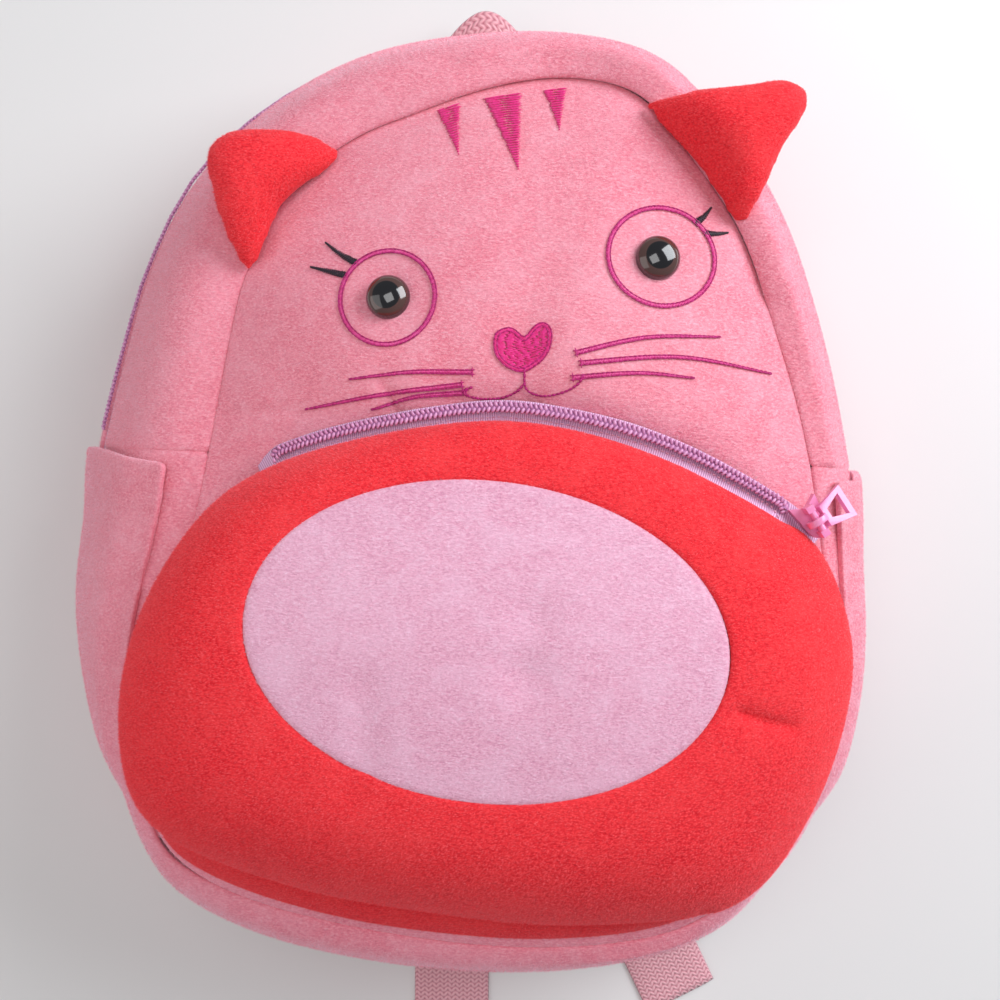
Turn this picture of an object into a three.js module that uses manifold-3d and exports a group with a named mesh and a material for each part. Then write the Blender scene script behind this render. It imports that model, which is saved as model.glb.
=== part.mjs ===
// A small child's plush backpack with a cat's face, lying on its back.
// Millimetres: X across the bag, Y towards its top, Z up from the ground, through the back to the face.
import * as THREE from 'three';
import Module from 'manifold-3d';

const wasm = await Module();
wasm.setup();

// The bag
const halfWide = 118.5;
const halfTall = 140.5;
const seamHeight = 74;
const plushWall = 3;
const backWall = 2.5;
const backShare = 0.93;
const faceCrown = 22;
const pocketFloor = 3;
const lipRise = 7;
const sagDrop = 3;
const fit = 0.35;
const seamFit = 0.6;

// The zip between the two upper bands
const zipWide = 8;
const tapeThick = 1.2;
const tapeSink = 0.9;
const hiddenSlider = { long: 11, tall: 4, rows: 0.7 };

// The front pocket
const panelWall = 3;
const stripWall = 2.5;
const panelInset = 2.5;
const bellyLevel = 114;
const bellyTopDrop = 3;
const bellyCrown = 4.5;
const belly = { x: 8, y: -36.1, long: 61.4, short: 40, tilt: THREE.MathUtils.degToRad(-5.8) };
const tapeReach = 5.6;
const tapeClear = 0.7;
const coil = { wide: 3.2, tall: 2.2, out: 3.7, clear: 0.7 };

// The pocket's slider and its pull
const slider = { row: 4.1, out: 4.6, heading: THREE.MathUtils.degToRad(-56), long: 11, wide: 8, tall: 3.4 };
const crown = { at: 0.5, rod: 1, rise: 3.8, span: 5.5, post: 1.8 };
const pull = { eye: 1.6, rim: 1.3, thick: 1.7, long: 8.5, near: 6, far: 9.5, bar: 1.7 };
const pullTilt = THREE.MathUtils.degToRad(-20);

// The side pockets
const sideWall = 2;
const sideFrom = 0.125;
const sideGap = 0.5;
const hemGap = 1.2;
const pocketSink = 2.6;
const hemRow = { left: 19.77, right: 6.35 };
const baseSteps = 36;
const cornerSteps = { left: 10, right: 11 };

// Ears, eyes and embroidery
const earThick = 9;
const earRim = 1.6;
const earClear = 0.45;
const earRoot = 14;
const eye = { across: 12.3, tall: 5.5, rim: 0.8, clear: 0.15 };
const threadThick = 0.9;
const threadClear = 0.4;
const lineWide = { ring: 1.5, mouth: 1.3, whisker: 1.5, lash: 1.7 };

// The carrying straps, which lie under the bag
const strap = { wide: 42, thick: 8, round: 3 };
const webbing = { wide: 25, thick: 1.6 };
const lock = { wide: 33, bar: 3.5, mid: 3, slot: 3.6, thick: 3, side: 2.8, turn: 3.1, lead: 6 };
const tab = { root: 32, tip: 8 };
const handle = { middle: 3, half: 27, gap: 4, pinch: 0.3, foot: 0.84, inner: 14, outer: 37, low: 4.1,
  curl: 9.4 };
const backLevel = strap.thick + fit;

const finish = {
  pinkPlush: { color: 0xec9ab0, roughness: 0.95, metalness: 0 },
  redPlush: { color: 0xfb4147, roughness: 0.95, metalness: 0 },
  palePlush: { color: 0xe9b4cc, roughness: 0.95, metalness: 0 },
  tape: { color: 0xdfa3cf, roughness: 0.8, metalness: 0 },
  coil: { color: 0xb878a8, roughness: 0.45, metalness: 0 },
  webbing: { color: 0xdba3a8, roughness: 0.85, metalness: 0 },
  satin: { color: 0xd6197c, roughness: 0.5, metalness: 0 },
  black: { color: 0x120d16, roughness: 0.5, metalness: 0 },
  plastic: { color: 0xf28cc0, roughness: 0.35, metalness: 0 },
  eyeBrown: { color: 0x2a1410, roughness: 0.08, metalness: 0 },
};

// A table's rows become objects with the columns' names.
function table(names, rows) {
  return rows.map((row) => Object.fromEntries(names.map((name, i) => [name, row[i]])));
}

// The bag's outlines, clockwise from the top: the widest line round the bag, and the seam between the
// side band and the front. X and Y are shares of the half sizes, rise of the seam's height.
const ribs = table(['midX', 'midY', 'seamX', 'seamY', 'rise'], [
  [0.017, 0.996, 0.034, 0.821, 1.014],
  [0.253, 0.986, 0.228, 0.847, 1.014],
  [0.481, 0.925, 0.397, 0.808, 1.068],
  [0.641, 0.797, 0.511, 0.688, 1.095],
  [0.785, 0.612, 0.636, 0.532, 1.122],
  [0.890, 0.370, 0.717, 0.335, 1.135],
  [0.949, 0.149, 0.786, 0.152, 1.135],
  [0.992, -0.085, 0.835, -0.085, 1.135],
  [1.000, -0.320, 0.857, -0.313, 1.122],
  [0.962, -0.541, 0.819, -0.527, 1.095],
  [0.869, -0.712, 0.734, -0.705, 1.054],
  [0.692, -0.854, 0.591, -0.836, 1.014],
  [0.422, -0.961, 0.388, -0.890, 1.000],
  [0.068, -1.000, 0.068, -0.900, 1.000],
  [-0.287, -0.979, -0.278, -0.862, 0.986],
  [-0.557, -0.911, -0.506, -0.813, 0.986],
  [-0.776, -0.783, -0.709, -0.717, 0.973],
  [-0.928, -0.541, -0.743, -0.512, 0.973],
  [-0.992, -0.270, -0.709, -0.285, 0.973],
  [-0.975, -0.057, -0.641, -0.071, 0.973],
  [-0.937, 0.128, -0.599, 0.121, 0.973],
  [-0.886, 0.320, -0.565, 0.306, 0.959],
  [-0.827, 0.491, -0.519, 0.477, 0.959],
  [-0.709, 0.690, -0.414, 0.630, 0.959],
  [-0.506, 0.854, -0.278, 0.722, 0.973],
  [-0.262, 0.961, -0.127, 0.772, 1.000],
]);

// The front pocket's outline, clockwise from the middle of its top edge.
const pocketEdge = table(['x', 'y', 'rise'], [
  [0.087, 0.142, 1.365],
  [0.305, 0.117, 1.392],
  [0.480, 0.071, 1.392],
  [0.661, -0.003, 1.351],
  [0.756, -0.050, 1.311],
  [0.819, -0.105, 1.284],
  [0.859, -0.181, 1.270],
  [0.889, -0.275, 1.257],
  [0.886, -0.371, 1.243],
  [0.851, -0.506, 1.230],
  [0.791, -0.623, 1.216],
  [0.710, -0.732, 1.203],
  [0.610, -0.791, 1.189],
  [0.429, -0.810, 1.189],
  [0.202, -0.821, 1.189],
  [-0.072, -0.796, 1.189],
  [-0.319, -0.767, 1.189],
  [-0.570, -0.700, 1.189],
  [-0.690, -0.647, 1.189],
  [-0.747, -0.566, 1.203],
  [-0.763, -0.441, 1.216],
  [-0.752, -0.335, 1.216],
  [-0.700, -0.192, 1.203],
  [-0.581, -0.037, 1.189],
  [-0.468, 0.033, 1.189],
  [-0.316, 0.082, 1.257],
  [-0.133, 0.117, 1.324],
]);

// The rows of that outline between which the pocket's zip runs
const tapeRows = { from: 24, to: pocketEdge.length + 4.6 };

// The ears' outlines as shares of the half sizes, from the root's upper end. root names the two corners
// at the seam, and rise is the height of the free part's underside as a share of the seam's height.
const ears = {
  ear_left: {
    root: [0, 5],
    rise: 1.09,
    edge: [
      [-0.297, 0.681], [-0.372, 0.622], [-0.424, 0.588], [-0.462, 0.535], [-0.490, 0.471], [-0.520, 0.440],
      [-0.548, 0.474], [-0.570, 0.525], [-0.590, 0.590], [-0.608, 0.652], [-0.586, 0.688], [-0.533, 0.707],
      [-0.452, 0.709], [-0.374, 0.707],
    ],
  },
  ear_right: {
    root: [0, 10],
    rise: 1.2,
    edge: [
      [0.401, 0.773], [0.480, 0.784], [0.571, 0.788], [0.684, 0.805], [0.740, 0.805], [0.771, 0.780],
      [0.758, 0.735], [0.717, 0.687], [0.685, 0.620], [0.650, 0.551], [0.630, 0.526], [0.606, 0.557],
      [0.560, 0.617], [0.500, 0.679], [0.432, 0.740],
    ],
  },
};

// The embroidery on the face, as shares of the half sizes.
const eyes = {
  left: { x: -0.169, y: 0.372, ringX: -0.170, ringY: 0.374, ringWide: 13.5, ringTall: 13.5 },
  right: { x: 0.424, y: 0.449, ringX: 0.435, ringY: 0.456, ringWide: 15.2, ringTall: 14.2 },
};
const stripes = {
  stripe_left: { left: [-0.078, 0.764], right: [-0.022, 0.776], tip: [-0.020, 0.660] },
  stripe_middle: { left: [0.032, 0.787], right: [0.121, 0.796], tip: [0.118, 0.625] },
  stripe_right: { left: [0.172, 0.804], right: [0.226, 0.808], tip: [0.210, 0.712] },
};
const noseEdge = [
  [0.103, 0.316], [0.135, 0.296], [0.170, 0.323], [0.196, 0.300], [0.185, 0.267], [0.138, 0.240],
  [0.090, 0.256], [0.074, 0.282],
];
const lipLine = [
  [0.002, 0.198], [0.022, 0.190], [0.053, 0.188], [0.092, 0.191], [0.120, 0.199], [0.1405, 0.216],
  [0.159, 0.199], [0.189, 0.192], [0.219, 0.194], [0.247, 0.206], [0.262, 0.219],
];
const lipStem = [[0.139, 0.236], [0.1405, 0.210]];
const whiskers = {
  whisker_left_1: [[0.023, 0.233], [-0.115, 0.231], [-0.250, 0.218]],
  whisker_left_2: [[0.000, 0.214], [-0.176, 0.192], [-0.355, 0.162]],
  whisker_left_3: [[-0.012, 0.197], [-0.105, 0.186], [-0.199, 0.163]],
  whisker_right_1: [[0.251, 0.270], [0.404, 0.302], [0.572, 0.311]],
  whisker_right_2: [[0.266, 0.251], [0.482, 0.268], [0.697, 0.248]],
  whisker_right_3: [[0.274, 0.229], [0.392, 0.238], [0.510, 0.235]],
};
const lashes = {
  lash_left_1: [[-0.322, 0.485], [-0.290, 0.463], [-0.256, 0.460]],
  lash_left_2: [[-0.354, 0.437], [-0.315, 0.424], [-0.287, 0.427]],
  lash_right_1: [[0.556, 0.565], [0.545, 0.547], [0.530, 0.546]],
  lash_right_2: [[0.592, 0.516], [0.568, 0.508], [0.561, 0.516]],
};

// Where the straps run under the bag, in millimetres from its middle.
const strapRoutes = {
  left: {
    pad: [[-24, 108], [-44, 66], [-52, 20], [-42, -28], [-22, -66]],
    lock: [-14, -88],
    tail: [[-4, -130], [-2, -178]],
    leg: [[-72, -112], [-54, -114], [-32, -112]],
    tab: [[-82, -110], [-60, -113]],
    turn: -90,
  },
  right: {
    pad: [[24, 108], [46, 66], [53, 20], [48, -28], [37, -60]],
    lock: [34, -86],
    tail: [[45, -120], [62, -142], [75.5, -167.5]],
    leg: [[84, -131], [66, -140], [50, -142], [39.5, -138.5], [33, -131], [31, -120]],
    tab: [[62, -124], [64, -149]],
    turn: -95,
  },
};

// Plain helpers

const lerp = THREE.MathUtils.lerp;
const smooth = THREE.MathUtils.smoothstep;
const up = new THREE.Vector3(0, 0, 1);

// A closed body from its corners and faces, turned so that the faces look outwards.
function body(points, index) {
  let volume = 0;
  for (let i = 0; i < index.length; i += 3) {
    const [a, b, c] = [points[index[i]], points[index[i + 1]], points[index[i + 2]]];
    volume += a.dot(new THREE.Vector3().crossVectors(b, c));
  }
  const faces = volume < 0 ? index.slice().reverse() : index;
  const geometry = new THREE.BufferGeometry();
  geometry.setAttribute('position', new THREE.Float32BufferAttribute(points.flatMap((p) => p.toArray()), 3));
  geometry.setIndex(faces);
  return geometry;
}

// A grid of points: place(s, t) gives the point, with s along the rows and t along the columns.
function grid(rows, columns, place, loops = false) {
  const count = loops ? columns : columns + 1;
  return Array.from({ length: rows + 1 }, (_, i) =>
    Array.from({ length: count }, (_, j) => place(i / rows, j / columns)));
}

// A walled body between an outer and an inner grid. With hubs, the first row closes on a middle point.
function shell(outer, inner, loops = false, hubs = null) {
  const rows = outer.length;
  const columns = outer[0].length;
  const points = [...outer.flat(), ...inner.flat(), ...(hubs ?? [])];
  const index = [];
  const out = (i, j) => i * columns + (j % columns);
  const inn = (i, j) => rows * columns + out(i, j);
  const quad = (a, b, c, d) => index.push(a, b, c, a, c, d);
  const last = loops ? columns : columns - 1;
  const end = rows - 1;
  for (let j = 0; j < last; j += 1) {
    for (let i = 0; i < end; i += 1) {
      quad(out(i, j), out(i, j + 1), out(i + 1, j + 1), out(i + 1, j));
      quad(inn(i + 1, j), inn(i + 1, j + 1), inn(i, j + 1), inn(i, j));
    }
    quad(out(end, j), out(end, j + 1), inn(end, j + 1), inn(end, j));
    if (hubs) {
      index.push(out(0, j + 1), out(0, j), 2 * rows * columns);
      index.push(inn(0, j), inn(0, j + 1), 2 * rows * columns + 1);
    } else {
      quad(inn(0, j), inn(0, j + 1), out(0, j + 1), out(0, j));
    }
  }
  if (!loops) {
    for (let i = 0; i < end; i += 1) {
      quad(out(i, 0), out(i + 1, 0), inn(i + 1, 0), inn(i, 0));
      quad(inn(i, last), inn(i + 1, last), out(i + 1, last), out(i, last));
    }
  }
  return body(points, index);
}

// A bar through a row of sections that each have the same number of corners.
function bar(sections, loops = false) {
  const count = sections.length;
  const corners = sections[0].length;
  const index = [];
  const at = (i, j) => (i % count) * corners + (j % corners);
  for (let i = 0; i < (loops ? count : count - 1); i += 1) {
    for (let j = 0; j < corners; j += 1) {
      index.push(at(i, j), at(i, j + 1), at(i + 1, j + 1), at(i, j), at(i + 1, j + 1), at(i + 1, j));
    }
  }
  if (!loops) {
    for (let j = 1; j < corners - 1; j += 1) {
      index.push(at(0, 0), at(0, j + 1), at(0, j));
      index.push(at(count - 1, 0), at(count - 1, j), at(count - 1, j + 1));
    }
  }
  return body(sections.flat(), index);
}

function asSolid(geometry) {
  const position = geometry.getAttribute('position');
  const merged = new Map();
  const vertices = [];
  const order = Array.from({ length: position.count }, (_, i) => {
    const corner = new THREE.Vector3().fromBufferAttribute(position, i);
    const key = corner.toArray().map((value) => Math.round(value * 1e4)).join();
    if (!merged.has(key)) {
      merged.set(key, merged.size);
      vertices.push(...corner.toArray());
    }
    return merged.get(key);
  });
  const triangles = (geometry.index ? Array.from(geometry.index.array) : order.map((_, i) => i))
    .map((i) => order[i]);
  return new wasm.Manifold(new wasm.Mesh({
    numProp: 3,
    vertProperties: new Float32Array(vertices),
    triVerts: new Uint32Array(triangles),
  }));
}

function fromSolid(solid) {
  const mesh = solid.getMesh();
  const points = Array.from({ length: mesh.vertProperties.length / 3 }, (_, i) =>
    new THREE.Vector3().fromArray(mesh.vertProperties, i * 3));
  return body(points, Array.from(mesh.triVerts));
}

const united = (pieces) => fromSolid(pieces.map(asSolid).reduce((sum, piece) => sum.add(piece)));

const bag = new THREE.Group();

function add(name, geometry, look) {
  geometry.computeVertexNormals();
  const mesh = new THREE.Mesh(geometry, new THREE.MeshStandardMaterial(look));
  mesh.name = name;
  mesh.updateMatrixWorld(true);
  bag.add(mesh);
  return mesh;
}

// The highest of these pieces' faces over a point, or nothing where none lies there.
function topOf(pieces, x, y) {
  const ray = new THREE.Raycaster(new THREE.Vector3(x, y, 1000), new THREE.Vector3(0, 0, -1));
  const hit = ray.intersectObjects(pieces, false)[0];
  return hit ? hit.point.z : null;
}

// The same, taken as the highest of a few points close by, so that a seam's gap is bridged.
function groundAt(pieces, x, y, near = 1.2) {
  const spots = [[0, 0], [near, 0], [-near, 0], [0, near], [0, -near]];
  return Math.max(...spots.map(([dx, dy]) => topOf(pieces, x + dx, y + dy) ?? 0));
}

const onBag = (share) => new THREE.Vector2(share[0] * halfWide, share[1] * halfTall);

// The bag's outlines and walls

const loopOf = (points) => new THREE.CatmullRomCurve3(points, true, 'centripetal');
const midLoop = loopOf(ribs.map((rib) => new THREE.Vector3(rib.midX * halfWide, rib.midY * halfTall, 0)));
const seamLoop = loopOf(ribs.map((rib) =>
  new THREE.Vector3(rib.seamX * halfWide, rib.seamY * halfTall, rib.rise * seamHeight)));
const edgeLoop = loopOf(pocketEdge.map((row) =>
  new THREE.Vector3(row.x * halfWide, row.y * halfTall, row.rise * seamHeight)));
const wrap = (t) => t - Math.floor(t);
const atRib = (row) => wrap(row / ribs.length);
const atEdge = (row) => wrap(row / pocketEdge.length);

// The side band's outer face: row runs round the bag, s from the back seam to the front seam.
function bandPoint(row, s) {
  const mid = midLoop.getPoint(atRib(row));
  const seam = seamLoop.getPoint(atRib(row));
  const back = mid.clone().multiplyScalar(backShare).setZ(backLevel);
  const ease = (1 - Math.cos(Math.PI * s)) / 2;
  const swell = Math.sin(Math.PI * s) ** 0.8;
  const point = back.clone().lerp(seam, ease);
  point.x += (mid.x - (back.x + seam.x) / 2) * swell;
  point.y += (mid.y - (back.y + seam.y) / 2) * swell;
  const upper = 0.25 + 0.75 * smooth(mid.y / halfTall, -0.2, 0.7);
  const lip = Math.sin(Math.PI * THREE.MathUtils.clamp((s - 0.6) / 0.4, 0, 1)) ** 1.3;
  const sag = Math.sin(Math.PI * THREE.MathUtils.clamp(s / 0.35, 0, 1));
  point.z += lipRise * upper * lip - sagDrop * sag;
  return point;
}

function bandOffset(row, s, out) {
  const step = 0.01;
  const along = bandPoint(row + step, s).sub(bandPoint(row - step, s));
  const across = bandPoint(row, Math.min(1, s + step)).sub(bandPoint(row, Math.max(0, s - step)));
  const normal = across.cross(along).normalize();
  return bandPoint(row, s).addScaledVector(normal, out);
}

// A wall that follows the side band. lift(row, s) is how far its outer face stands off the band.
function bandWall(fromRow, toRow, fromS, toS, columns, rows, thick, lift = () => 0) {
  const place = (extra) => (i, j) => {
    const row = lerp(fromRow, toRow, j);
    const s = lerp(fromS, toS, i);
    return bandOffset(row, s, lift(row, s) + extra);
  };
  return shell(grid(rows, columns, place(0)), grid(rows, columns, place(-thick)));
}

const baseStep = (hemRow.left - hemRow.right) / baseSteps;
const cornerRow = {
  left: hemRow.left - cornerSteps.left * baseStep,
  right: hemRow.right + cornerSteps.right * baseStep,
};
const rowsPerMm = ribs.length / midLoop.getLength();
const rowFit = fit * rowsPerMm;
const hemEnd = hemRow.right + ribs.length;
const zipHalf = zipWide / (Math.PI * (seamHeight - backLevel));
const sFit = fit / (seamHeight - backLevel);

const zipRows = [hemRow.left + rowFit, hemEnd - rowFit];
add('zip_band_rear', bandWall(...zipRows, 0, 0.5 - zipHalf - sFit, 32, 3, plushWall), finish.pinkPlush);
add('main_zip', bandWall(...zipRows, 0.5 - zipHalf, 0.5 + zipHalf, 32, 1, tapeThick, () => -tapeSink),
  finish.tape);
const bandFront = add('zip_band_front', bandWall(...zipRows, 0.5 + zipHalf + sFit, 1, 32, 4, plushWall),
  finish.pinkPlush);

// Under each side pocket the band is drawn in, so that the pocket lies nearly flush.
const fromSeams = (s) => Math.min(1, 6 * s, 6 * (1 - s));
function underPocket(row, s) {
  const left = 1 - smooth(row, hemRow.left - 0.8, hemRow.left);
  const leftCorner = smooth(row, cornerRow.left - 0.5, cornerRow.left);
  const right = smooth(row, hemRow.right, hemRow.right + 0.8);
  const rightCorner = 1 - smooth(row, cornerRow.right, cornerRow.right + 0.5);
  return fromSeams(s) * (left * leftCorner + right * rightCorner);
}
const bandSink = (row, s) => -pocketSink * underPocket(row, s);
const base = add('gusset_base', bandWall(hemRow.right, hemRow.left, 0, 1, baseSteps, 8, plushWall, bandSink),
  finish.pinkPlush);

for (const side of ['left', 'right']) {
  const hem = hemRow[side];
  const corner = cornerRow[side];
  const lift = (row, s) => {
    const hemShare = 1 - smooth(Math.abs(row - hem), 0, 0.9);
    return bandSink(row, s) + sideGap + hemGap * hemShare * fromSeams(s) + sideWall;
  };
  const wall = bandWall(hem, corner, sideFrom, 1 - sideFrom, cornerSteps[side], 6, sideWall, lift);
  add(`side_pocket_${side}`, wall, finish.pinkPlush);
}

// The hidden slider of the main zip lies on its tape beside the right hem.
const hiddenRow = hemRow.right - hiddenSlider.rows;
const hiddenHub = bandOffset(hiddenRow, 0.5, fit - tapeSink + hiddenSlider.tall / 2);
const hiddenOut = bandOffset(hiddenRow, 0.5, 1).sub(bandOffset(hiddenRow, 0.5, 0)).normalize();
const hiddenAlong = bandPoint(hiddenRow + 0.1, 0.5).sub(bandPoint(hiddenRow - 0.1, 0.5)).normalize();
const hiddenBox = new THREE.BoxGeometry(hiddenSlider.long, zipWide - 2 * fit, hiddenSlider.tall);
hiddenBox.applyMatrix4(new THREE.Matrix4().makeBasis(
  hiddenAlong, new THREE.Vector3().crossVectors(hiddenOut, hiddenAlong), hiddenOut));
hiddenBox.translate(...hiddenHub.toArray());
add('main_zip_slider', hiddenBox, finish.plastic);

// The back panel and the face

const flatHub = new THREE.Vector3(0, 0, 0);
function backGrid(z) {
  return grid(1, 36, (i, j) => {
    const edge = midLoop.getPoint(j).multiplyScalar(backShare);
    const inset = 1 - fit / edge.length();
    return edge.multiplyScalar(lerp(0.5, 1, i) * inset).setZ(z);
  }, true);
}
add('back_panel', shell(backGrid(backLevel), backGrid(backLevel + backWall), true,
  [flatHub.clone().setZ(backLevel), flatHub.clone().setZ(backLevel + backWall)]), finish.pinkPlush);

// How far a loop lies from a hub in the direction of a point, in the plane of the face.
const reachSamples = 240;
function reach(loop, hub, point) {
  const angle = Math.atan2(point.y - hub.y, point.x - hub.x);
  const turnTo = (at) =>
    Math.abs(THREE.MathUtils.euclideanModulo(at.angle - angle + Math.PI, 2 * Math.PI) - Math.PI);
  return loop.reduce((best, at) => (turnTo(at) < turnTo(best) ? at : best)).far;
}
function sampled(curve, hub) {
  return Array.from({ length: reachSamples }, (_, i) => {
    const p = curve.getPoint(i / reachSamples);
    return { angle: Math.atan2(p.y - hub.y, p.x - hub.x), far: Math.hypot(p.x - hub.x, p.y - hub.y) };
  });
}

const faceHub = new THREE.Vector3(0.1 * halfWide, -0.035 * halfTall, seamHeight * 1.06);
const pocketHub = new THREE.Vector3(belly.x, belly.y - 12, 0);
const edgeSamples = sampled(edgeLoop, pocketHub);
const seamSamples = sampled(seamLoop, pocketHub);

function facePoint(share, t) {
  const seam = seamLoop.getPoint(t);
  const inset = 1 - seamFit / seam.distanceTo(faceHub);
  const point = new THREE.Vector3().lerpVectors(faceHub, seam, share * inset);
  const inPocket = Math.hypot(point.x - pocketHub.x, point.y - pocketHub.y)
    / reach(edgeSamples, pocketHub, point);
  const open = smooth(inPocket, 0.86, 1.16);
  point.z += faceCrown * (1 - share ** 2.6) * open + pocketFloor * (1 - share ** 2) * (1 - open);
  return point;
}
const faceShares = [0.13, 0.25, 0.36, 0.48, 0.62, 0.76, 0.89, 1];
const faceOuter = faceShares.map((share) => Array.from({ length: 42 }, (_, j) => facePoint(share, j / 42)));
const faceInner = faceOuter.map((ring) => ring.map((p) => p.clone().setZ(p.z - plushWall)));
const faceMiddle = facePoint(0, 0);
const face = add('face_panel', shell(faceOuter, faceInner, true,
  [faceMiddle, faceMiddle.clone().setZ(faceMiddle.z - plushWall)]), finish.pinkPlush);

// The front pocket

function ovalPoint(angle, scale) {
  const local = angle - belly.tilt;
  const far = scale / Math.hypot(Math.cos(local) / belly.long, Math.sin(local) / belly.short);
  return new THREE.Vector3(belly.x + far * Math.cos(angle), belly.y + far * Math.sin(angle), 0);
}
const ovalLevel = (angle) => bellyLevel - bellyTopDrop * Math.max(0, Math.sin(angle));

function panelPoint(share, t) {
  const edge = edgeLoop.getPoint(t);
  const angle = Math.atan2(edge.y - belly.y, edge.x - belly.x);
  const oval = ovalPoint(angle, 1 + fit / belly.short).setZ(ovalLevel(angle));
  const point = oval.clone().lerp(edge, share);
  point.z = edge.z + (oval.z - edge.z) * (1 - share ** 2.6);
  return point;
}
const dropped = (points, by) => points.map((ring) => ring.map((p) => p.clone().setZ(p.z - by)));
const panelTop = [0, 0.35, 0.65, 0.87, 1].map((share) =>
  Array.from({ length: 40 }, (_, j) => panelPoint(share, j / 40)));
const panel = add('pocket_panel', shell(panelTop, dropped(panelTop, panelWall), true), finish.redPlush);

const bellyTop = grid(3, 32, (i, j) => {
  const angle = -2 * Math.PI * j;
  const share = lerp(0.2, 1, i);
  const point = ovalPoint(angle, share * (1 - fit / belly.short));
  return point.setZ(lerp(bellyLevel - 1, ovalLevel(angle), share) + bellyCrown * (1 - share ** 2));
}, true);
const bellyHub = new THREE.Vector3(belly.x, belly.y, bellyLevel - 1 + bellyCrown);
add('belly_panel', shell(bellyTop, dropped(bellyTop, panelWall), true,
  [bellyHub, bellyHub.clone().setZ(bellyHub.z - panelWall)]), finish.palePlush);

// A point of the pocket's edge, moved out from the pocket in the plane of the face.
function edgeOut(row, out) {
  const point = edgeLoop.getPoint(atEdge(row));
  const along = edgeLoop.getTangent(atEdge(row));
  const side = new THREE.Vector3(-along.y, along.x, 0).normalize();
  return point.addScaledVector(side, out);
}

// The strip between the pocket's panel and the bag's front, round the sides and bottom.
const footInset = 3.5;
const stripSwell = 2;
function stripPoint(i, j, inwards) {
  const row = lerp(tapeRows.to - pocketEdge.length + 0.03, tapeRows.from - 0.03, j);
  const top = edgeOut(row, -panelInset);
  top.z -= panelWall + fit;
  const far = reach(seamSamples, pocketHub, top) - footInset;
  const away = new THREE.Vector3(top.x - pocketHub.x, top.y - pocketHub.y, 0).normalize();
  const foot = new THREE.Vector3(pocketHub.x, pocketHub.y, 0).addScaledVector(away, far);
  const inner = foot.clone().addScaledVector(away, -stripWall);
  foot.z = Math.max(topOf([face], foot.x, foot.y), topOf([face], inner.x, inner.y)) + seamFit;
  return top.clone().lerp(foot, i).addScaledVector(away, stripSwell * Math.sin(Math.PI * i) - inwards);
}
add('pocket_gusset', shell(grid(2, 36, (i, j) => stripPoint(i, j, 0)),
  grid(2, 36, (i, j) => stripPoint(i, j, stripWall))), finish.redPlush);

// The tape of the pocket's zip runs from under the panel's edge onto the face.
function tapePoint(i, j, drop) {
  const row = lerp(tapeRows.from, tapeRows.to, j);
  const inner = edgeOut(row, -1);
  inner.z -= panelWall + fit;
  const outer = edgeOut(row, tapeReach);
  const ground = topOf([face, bandFront, base], outer.x, outer.y);
  outer.z = ground + tapeClear + tapeThick;
  const point = inner.lerp(outer, i);
  const below = topOf([face, bandFront, base], point.x, point.y) + tapeClear + tapeThick;
  point.z = Math.max(point.z, below) - drop;
  return point;
}
const tape = add('pocket_zip_tape', shell(grid(3, 32, (i, j) => tapePoint(i, j, 0)),
  grid(3, 32, (i, j) => tapePoint(i, j, tapeThick))), finish.tape);

const coilSections = Array.from({ length: 27 }, (_, j) => {
  const row = lerp(tapeRows.from + 0.3, slider.row + pocketEdge.length - 0.5, j / 26);
  return [[-0.5, 0], [0.5, 0], [0.36, 0.8], [0, 1], [-0.36, 0.8]].map(([across, high]) => {
    const point = edgeOut(row, coil.out + across * coil.wide);
    point.z = groundAt([tape], point.x, point.y) + coil.clear + high * coil.tall;
    return point;
  });
});
const coilMesh = add('pocket_zip_coil', bar(coilSections), finish.coil);

// The slider's body, with a rod on two posts over it. The pull's eye hangs on the rod.
const sliderHub = edgeOut(slider.row, slider.out);
const sliderAlong = new THREE.Vector3(Math.cos(slider.heading), Math.sin(slider.heading), 0);
const sliderSide = new THREE.Vector3(-sliderAlong.y, sliderAlong.x, 0);
const underSlider = [-0.5, 0, 0.5].flatMap((a) => [-0.4, 0, 0.4].map((b) =>
  sliderHub.clone().addScaledVector(sliderAlong, a * slider.long)
    .addScaledVector(sliderSide, b * slider.wide)));
const sliderGround = Math.max(...underSlider.map((at) =>
  topOf([tape, panel, face, bandFront, base, coilMesh], at.x, at.y) ?? 0));
const sliderBase = new THREE.Matrix4().makeBasis(sliderAlong, sliderSide, up)
  .setPosition(sliderHub.x, sliderHub.y, sliderGround + fit);

const sliderShape = new THREE.Shape();
sliderShape.moveTo(-slider.long / 2, -slider.wide / 2);
sliderShape.lineTo(-slider.long * 0.1, -slider.wide * 0.42);
sliderShape.quadraticCurveTo(slider.long / 2, -slider.wide * 0.4, slider.long / 2, 0);
sliderShape.quadraticCurveTo(slider.long / 2, slider.wide * 0.4, -slider.long * 0.1, slider.wide * 0.42);
sliderShape.lineTo(-slider.long / 2, slider.wide / 2);
sliderShape.lineTo(-slider.long * 0.3, 0);
sliderShape.closePath();
const flat = (depth, curveSegments = 5) => ({ depth, bevelEnabled: false, curveSegments });
const sliderBody = new THREE.ExtrudeGeometry(sliderShape, flat(slider.tall));
const rodHeight = slider.tall + crown.rise;
const rodGeometry = new THREE.CylinderGeometry(crown.rod, crown.rod, crown.span + crown.post, 12);
rodGeometry.rotateZ(Math.PI / 2);
rodGeometry.translate(crown.at, 0, rodHeight);
const posts = [-1, 1].map((end) => {
  const tall = crown.rise + 1.4 * crown.rod;
  const post = new THREE.BoxGeometry(crown.post, 2.2 * crown.rod, tall);
  const along = crown.at + end * (crown.span + crown.post) / 2;
  post.translate(along, 0, slider.tall - 0.2 * crown.rod + (tall - 0.4 * crown.rod) / 2);
  return post;
});
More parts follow.
